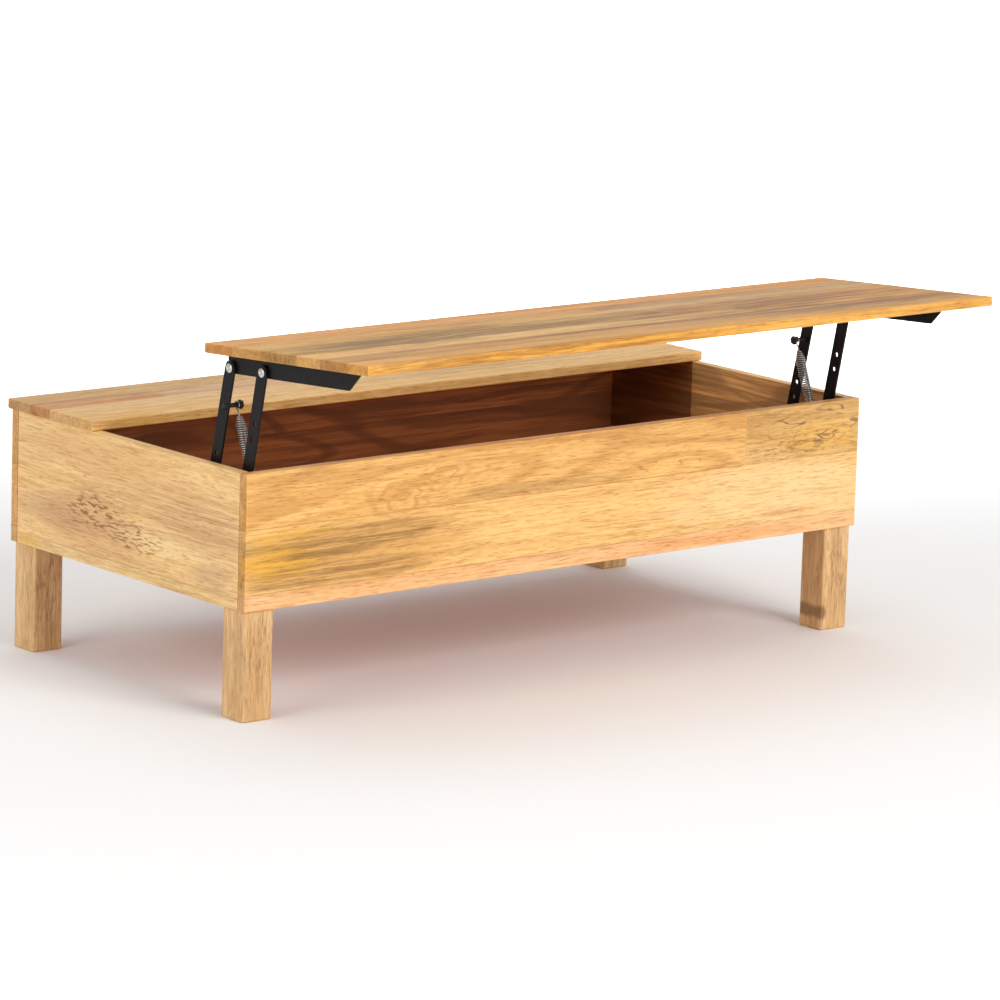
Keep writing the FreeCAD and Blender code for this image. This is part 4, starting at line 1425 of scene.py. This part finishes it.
@dataclass
class CoilSprings:
    """The two pull springs: a close coil with a lower eye, and the hook in its coned upper end."""

    wire_radius: float = 1.0 * MM
    coil_radius: float = 6.0 * MM
    coil_start: float = 17.0 * MM
    end_gap: float = 16.0 * MM
    cone_length: float = 12.0 * MM
    cone_end_radius: float = 2.6 * MM
    foot_eye_radius: float = 4.3 * MM
    head_eye_radius: float = 4.7 * MM
    foot_neck: float = 5.0 * MM
    head_neck: float = 6.0 * MM
    head_bend: float = 3.5 * MM
    foot_eye_arc: tuple[int, int] = (40, 341)
    head_eye_arc: tuple[int, int] = (-52, 233)
    arc_step: int = 12
    first_turn_drop: float = 4.0 * MM
    widening_share: float = 0.6
    turns: int = 46
    steps: int = 20

    def sheet(self) -> ShapeSheet:
        """Draws the tree that sweeps round wire along every given line and returns it."""
        sheet = ShapeSheet("Round wire")
        radius = sheet.size("Wire radius")
        sides = sheet.size("Sides", "NodeSocketInt")
        line = sheet.add("GeometryNodeMeshToCurve", Mesh=sheet.given.outputs["Geometry"])
        wire = sheet.swept(line.outputs[0], sides, radius)
        smooth = sheet.add("GeometryNodeSetShadeSmooth", Geometry=wire, Shade_Smooth=True)
        sheet.close(smooth.outputs[0])
        return sheet

    def coil_line(self, length: float) -> "list[Point]":
        """Draws the coil's wire on an upright spring.

        Args:
            length: from the anchor's middle to the post's middle.

        Returns:
            The wire's points, from the lower eye to the top of the cone.
        """
        eye = self.foot_eye_radius
        line = [(0.0, eye * math.sin(a), eye * math.cos(a))
                for a in (math.radians(d) for d in range(*self.foot_eye_arc, self.arc_step))]
        line += [(0.0, 0.0, eye + self.foot_neck / 2), (0.0, 0.0, eye + self.foot_neck)]
        top = length - self.end_gap
        first = self.coil_start - self.first_turn_drop
        cone_low = top - self.cone_length
        count = self.turns * self.steps
        for k in range(count + 1):
            share = k / count
            z = first + (top - first) * share
            radius = self.coil_radius * min(1.0, k / (self.widening_share * self.steps))
            if z > cone_low:
                fall = (z - cone_low) / (top - cone_low)
                radius = self.coil_radius + (self.cone_end_radius - self.coil_radius) * fall
            angle = 2 * math.pi * k / self.steps
            line.append((radius * math.sin(angle), radius * math.cos(angle), z))
        return line

    def hook_line(self, length: float) -> "list[Point]":
        """Draws the upper hook's wire on an upright spring.

        Args:
            length: from the anchor's middle to the post's middle.

        Returns:
            The wire's points, from inside the cone round the post.
        """
        eye = self.head_eye_radius
        low = length - self.end_gap - self.cone_length
        line = [(0.0, 0.0, low), (0.0, 0.0, length - eye - self.head_neck),
                (0.0, 0.0, length - eye - self.head_bend)]
        line += [(0.0, eye * math.cos(a), length + eye * math.sin(a))
                 for a in (math.radians(d) for d in range(*self.head_eye_arc, self.arc_step))]
        return line

    def build(self, finish: bpy.types.Material) -> None:
        """Winds both springs and their hooks.

        Args:
            finish: the wire's material.
        """
        foot = Vector(joint("springs_swing")["pos_m"])
        up = Vector(joint("springs_stretch")["axis"]).normalized()
        level = Vector((1.0, 0.0, 0.0))
        side = up.cross(level)
        low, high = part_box("spring_post_left")
        length = ((low + high) / 2 - foot).dot(up)

        def placed(line: "list[Point]", hand: Hand) -> "list[Vector]":
            """Carries a line from the upright spring to its place at one end and returns it."""
            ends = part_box(f"spring_{hand.word}")
            across = level * ((ends[0].x + ends[1].x) / 2)
            return [foot + across + level * x + side * y + up * z for x, y, z in line]

        sheet = self.sheet()
        values = {"Wire radius": self.wire_radius, "Sides": 10, "Finish": finish}
        coil = self.coil_line(length)
        runs = [placed(coil, hand) for hand in Hand]
        springs = sheet.make("coil_springs", line_mesh("coil_lines", runs), values)
        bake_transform(springs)
        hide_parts(*both("spring"))
        LOG.info("made %s, %d faces", springs.name, len(springs.data.polygons))
        hook = self.hook_line(length)
        runs = [placed(hook, hand) for hand in Hand]
        hooks = sheet.make("spring_hooks_wire", line_mesh("hook_lines", runs), values)
        settle(hooks, "spring_hooks", both("spring_hook"))


@dataclass
class LiftFittings:
    """The steel arms, plates and brackets that carry the lift top, with their fastenings."""

    plate_screw_length: float = 14.0 * MM
    bracket_screw_length: float = 13.0 * MM
    floor_screw_length: float = 20.0 * MM
    foot_head_radius: float = 7.5 * MM
    top_head_radius: float = 6.5 * MM
    foot_rivet_radius: float = 4.0 * MM
    top_rivet_radius: float = 3.0 * MM
    tilt: float = RAISED_TILT

    def build(self) -> None:
        """Dresses the plain steel and makes the fastenings and springs."""
        black = BLACK_COAT.material()
        screw_black = BLACK_SCREW.material()
        zinc = ZINC.material()
        bright = RIVET_STEEL.material()
        spring_steel = SPRING_STEEL.material()
        for stem in ("base_plate", "rear_arm", "front_arm", "top_bracket", "spring_anchor"):
            dress(both(stem), black)
        dress(both("spring_post_nut"), screw_black)
        dress([*both("base_washers"), *both("rear_arm_washer"), *both("front_arm_washer"), "leg_bolts",
               "leg_bolt_washers"], zinc)
        replaced = [*both("base_plate_screws"), *both("top_bracket_screws")]
        dress([*replaced, *both("spring_post")], screw_black)
        dress(["floor_screws"], zinc)
        dress([*both("base_rivets"), *both("rear_top_rivet"), *both("front_top_rivet")], bright)
        dress([*both("spring"), *both("spring_hook")], spring_steel)
        self.screws(screw_black, zinc)
        self.rivets(bright)
        SpringPosts().build(screw_black)
        CoilSprings().build(spring_steel)

    def screws(self, black: bpy.types.Material, zinc: bpy.types.Material) -> None:
        """Makes all the screws.

        Args:
            black: the material of the fittings' screws.
            zinc: the material of the floor's screws.
        """
        screws = CrossScrews()
        sheet = screws.sheet()
        inward = {f"base_plate_screws_{hand.word}": Vector((-hand.value, 0.0, 0.0)) for hand in Hand}
        screws.build(sheet, "plate_screws", inward, "root", self.plate_screw_length, black, "black_screw")
        tilt = math.radians(self.tilt)
        down = Vector((0.0, math.sin(tilt), -math.cos(tilt)))
        under = {name: down for name in both("top_bracket_screws")}
        screws.build(sheet, "bracket_screws", under, "lift_top", self.bracket_screw_length, black,
                     "black_screw")
        screws.build(sheet, "box_floor_screws", {"floor_screws": Vector((0.0, 0.0, 1.0))}, "root",
                     self.floor_screw_length, zinc, "zinc_steel")

    def rivets(self, bright: bpy.types.Material) -> None:
        """Makes all the rivets.

        Args:
            bright: their material.
        """
        rivets = DomedRivets()
        sheet = rivets.sheet()
        rivets.build(sheet, "foot_rivets", "base_rivets", "root", self.foot_head_radius,
                     self.foot_rivet_radius, False, bright)
        rivets.build(sheet, "rear_upper_rivets", "rear_top_rivet", "lift_top", self.top_head_radius,
                     self.top_rivet_radius, True, bright)
        rivets.build(sheet, "front_upper_rivets", "front_top_rivet", "front_arms", self.top_head_radius,
                     self.top_rivet_radius, True, bright)


# --- the room ---
@dataclass
class Studio:
    """A pale floor, soft lights and the camera."""

    floor_reach: float = 30.0
    floor_tone: Rgb = (0.90, 0.90, 0.90)
    sky_strength: float = 0.66
    heading: float = 39.70
    looking_down: float = 11.49
    roll: float = 1.763
    distance: float = 7.832
    aim: Point = (0.1032, 0.1190, 0.1872)
    focal_length: float = 198.65

    def floor(self) -> None:
        """Lays the floor."""
        count = 96
        ring = [(self.floor_reach * math.cos(2 * math.pi * k / count),
                 self.floor_reach * math.sin(2 * math.pi * k / count), 0.0) for k in range(count)]
        mesh = bpy.data.meshes.new("floor")
        mesh.from_pydata(ring, [], [list(range(count))])
        floor = bpy.data.objects.new("floor", mesh)
        bpy.context.scene.collection.objects.link(floor)
        sheet = FinishSheet("pale floor")
        place = sheet.place.outputs["Object"]
        cloud = sheet.noise(place, 0.0, 2.0)
        sheet.feed(sheet.shader.inputs["Base Color"],
                   sheet.blend(cloud, self.floor_tone, tuple(0.99 * share for share in self.floor_tone)))
        sheet.shader.inputs["Roughness"].default_value = 0.9
        sheet.shader.inputs["Specular IOR Level"].default_value = 0.1
        mesh.materials.append(sheet.material)
        floor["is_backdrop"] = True

    def light(self, name: str, place: Point, power: float, size: float,
              aim: "Point | None" = None, spread: float = 180.0) -> None:
        """Hangs one soft light aimed at the table or at another place.

        Args:
            name: the light's name.
            place: where it hangs, in metres.
            power: its power in watts.
            size: its side length in metres.
            aim: what it points at, where that isn't the table.
            spread: how wide it shines, in degrees.
        """
        data = bpy.data.lights.new(name, "AREA")
        data.shape = "SQUARE"
        data.size = size
        data.energy = power
        data.spread = math.radians(spread)
        lamp = bpy.data.objects.new(name, data)
        lamp.location = place
        lamp.rotation_euler = (Vector(aim or self.aim) - Vector(place)).to_track_quat("-Z", "Y").to_euler()
        bpy.context.scene.collection.objects.link(lamp)

    def sky(self) -> None:
        """Sets the even light from all around."""
        world = bpy.data.worlds.new("studio")
        world.use_nodes = True
        background = world.node_tree.nodes["Background"]
        background.inputs["Color"].default_value = (1.0, 1.0, 1.0, 1.0)
        background.inputs["Strength"].default_value = self.sky_strength
        bpy.context.scene.world = world

    def camera(self) -> None:
        """Sets up the camera."""
        heading, down = math.radians(self.heading), math.radians(self.looking_down)
        level = Vector((math.sin(heading), math.cos(heading), 0.0))
        forward = level * math.cos(down) - Vector((0.0, 0.0, math.sin(down)))
        flat_right = forward.cross(Vector((0.0, 0.0, 1.0))).normalized()
        flat_up = flat_right.cross(forward)
        roll = math.radians(self.roll)
        right = flat_right * math.cos(roll) + flat_up * math.sin(roll)
        up = flat_up * math.cos(roll) - flat_right * math.sin(roll)
        data = bpy.data.cameras.new("camera")
        data.lens = self.focal_length
        data.sensor_width = 36.0
        data.clip_end = 100.0
        camera = bpy.data.objects.new("camera", data)
        turn = Matrix((right, up, -forward)).transposed().to_4x4()
        camera.matrix_world = Matrix.Translation(Vector(self.aim) - forward * self.distance) @ turn
        bpy.context.scene.collection.objects.link(camera)
        bpy.context.scene.camera = camera

    def build(self) -> None:
        """Sets up the whole room."""
        self.floor()
        self.sky()
        self.light("key light", (0.6, -6.0, 3.2), 245.0, 3.5)
        self.light("top light", (0.4, 0.2, 4.5), 20.0, 3.0)
        self.light("left light", (-5.5, -0.6, 2.4), 86.0, 3.0)
        self.light("far floor light", (6.0, 7.4, 7.0), 1250.0, 9.0, aim=(6.0, 7.4, 0.0), spread=60.0)
        self.light("near floor light", (2.7, 3.3, 3.6), 95.0, 3.2, aim=(2.7, 3.3, 0.0), spread=50.0)
        self.camera()
        bpy.context.scene.view_settings.view_transform = "Standard"


def write_sizes() -> None:
    """Puts the frame's box and the finished table's box side by side, and keeps neither."""
    def plain(box: object) -> object:
        """Turns nested corners into plain lists of numbers."""
        return [plain(part) for part in box] if hasattr(box, "__len__") else float(box)

    {"cad": plain(CAD_BOX), "visual": plain(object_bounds())}


def main() -> None:
    """Builds the table's sub-assemblies in order, then the room."""
    logging.basicConfig(level=logging.INFO, format="%(name)s: %(message)s")
    for part in (StorageBox(), Legs(), RearTop(), LiftTop(), LiftFittings(), Studio()):
        LOG.info("building %s", type(part).__name__)
        part.build()
    write_sizes()


if __name__ == "__main__":
    main()
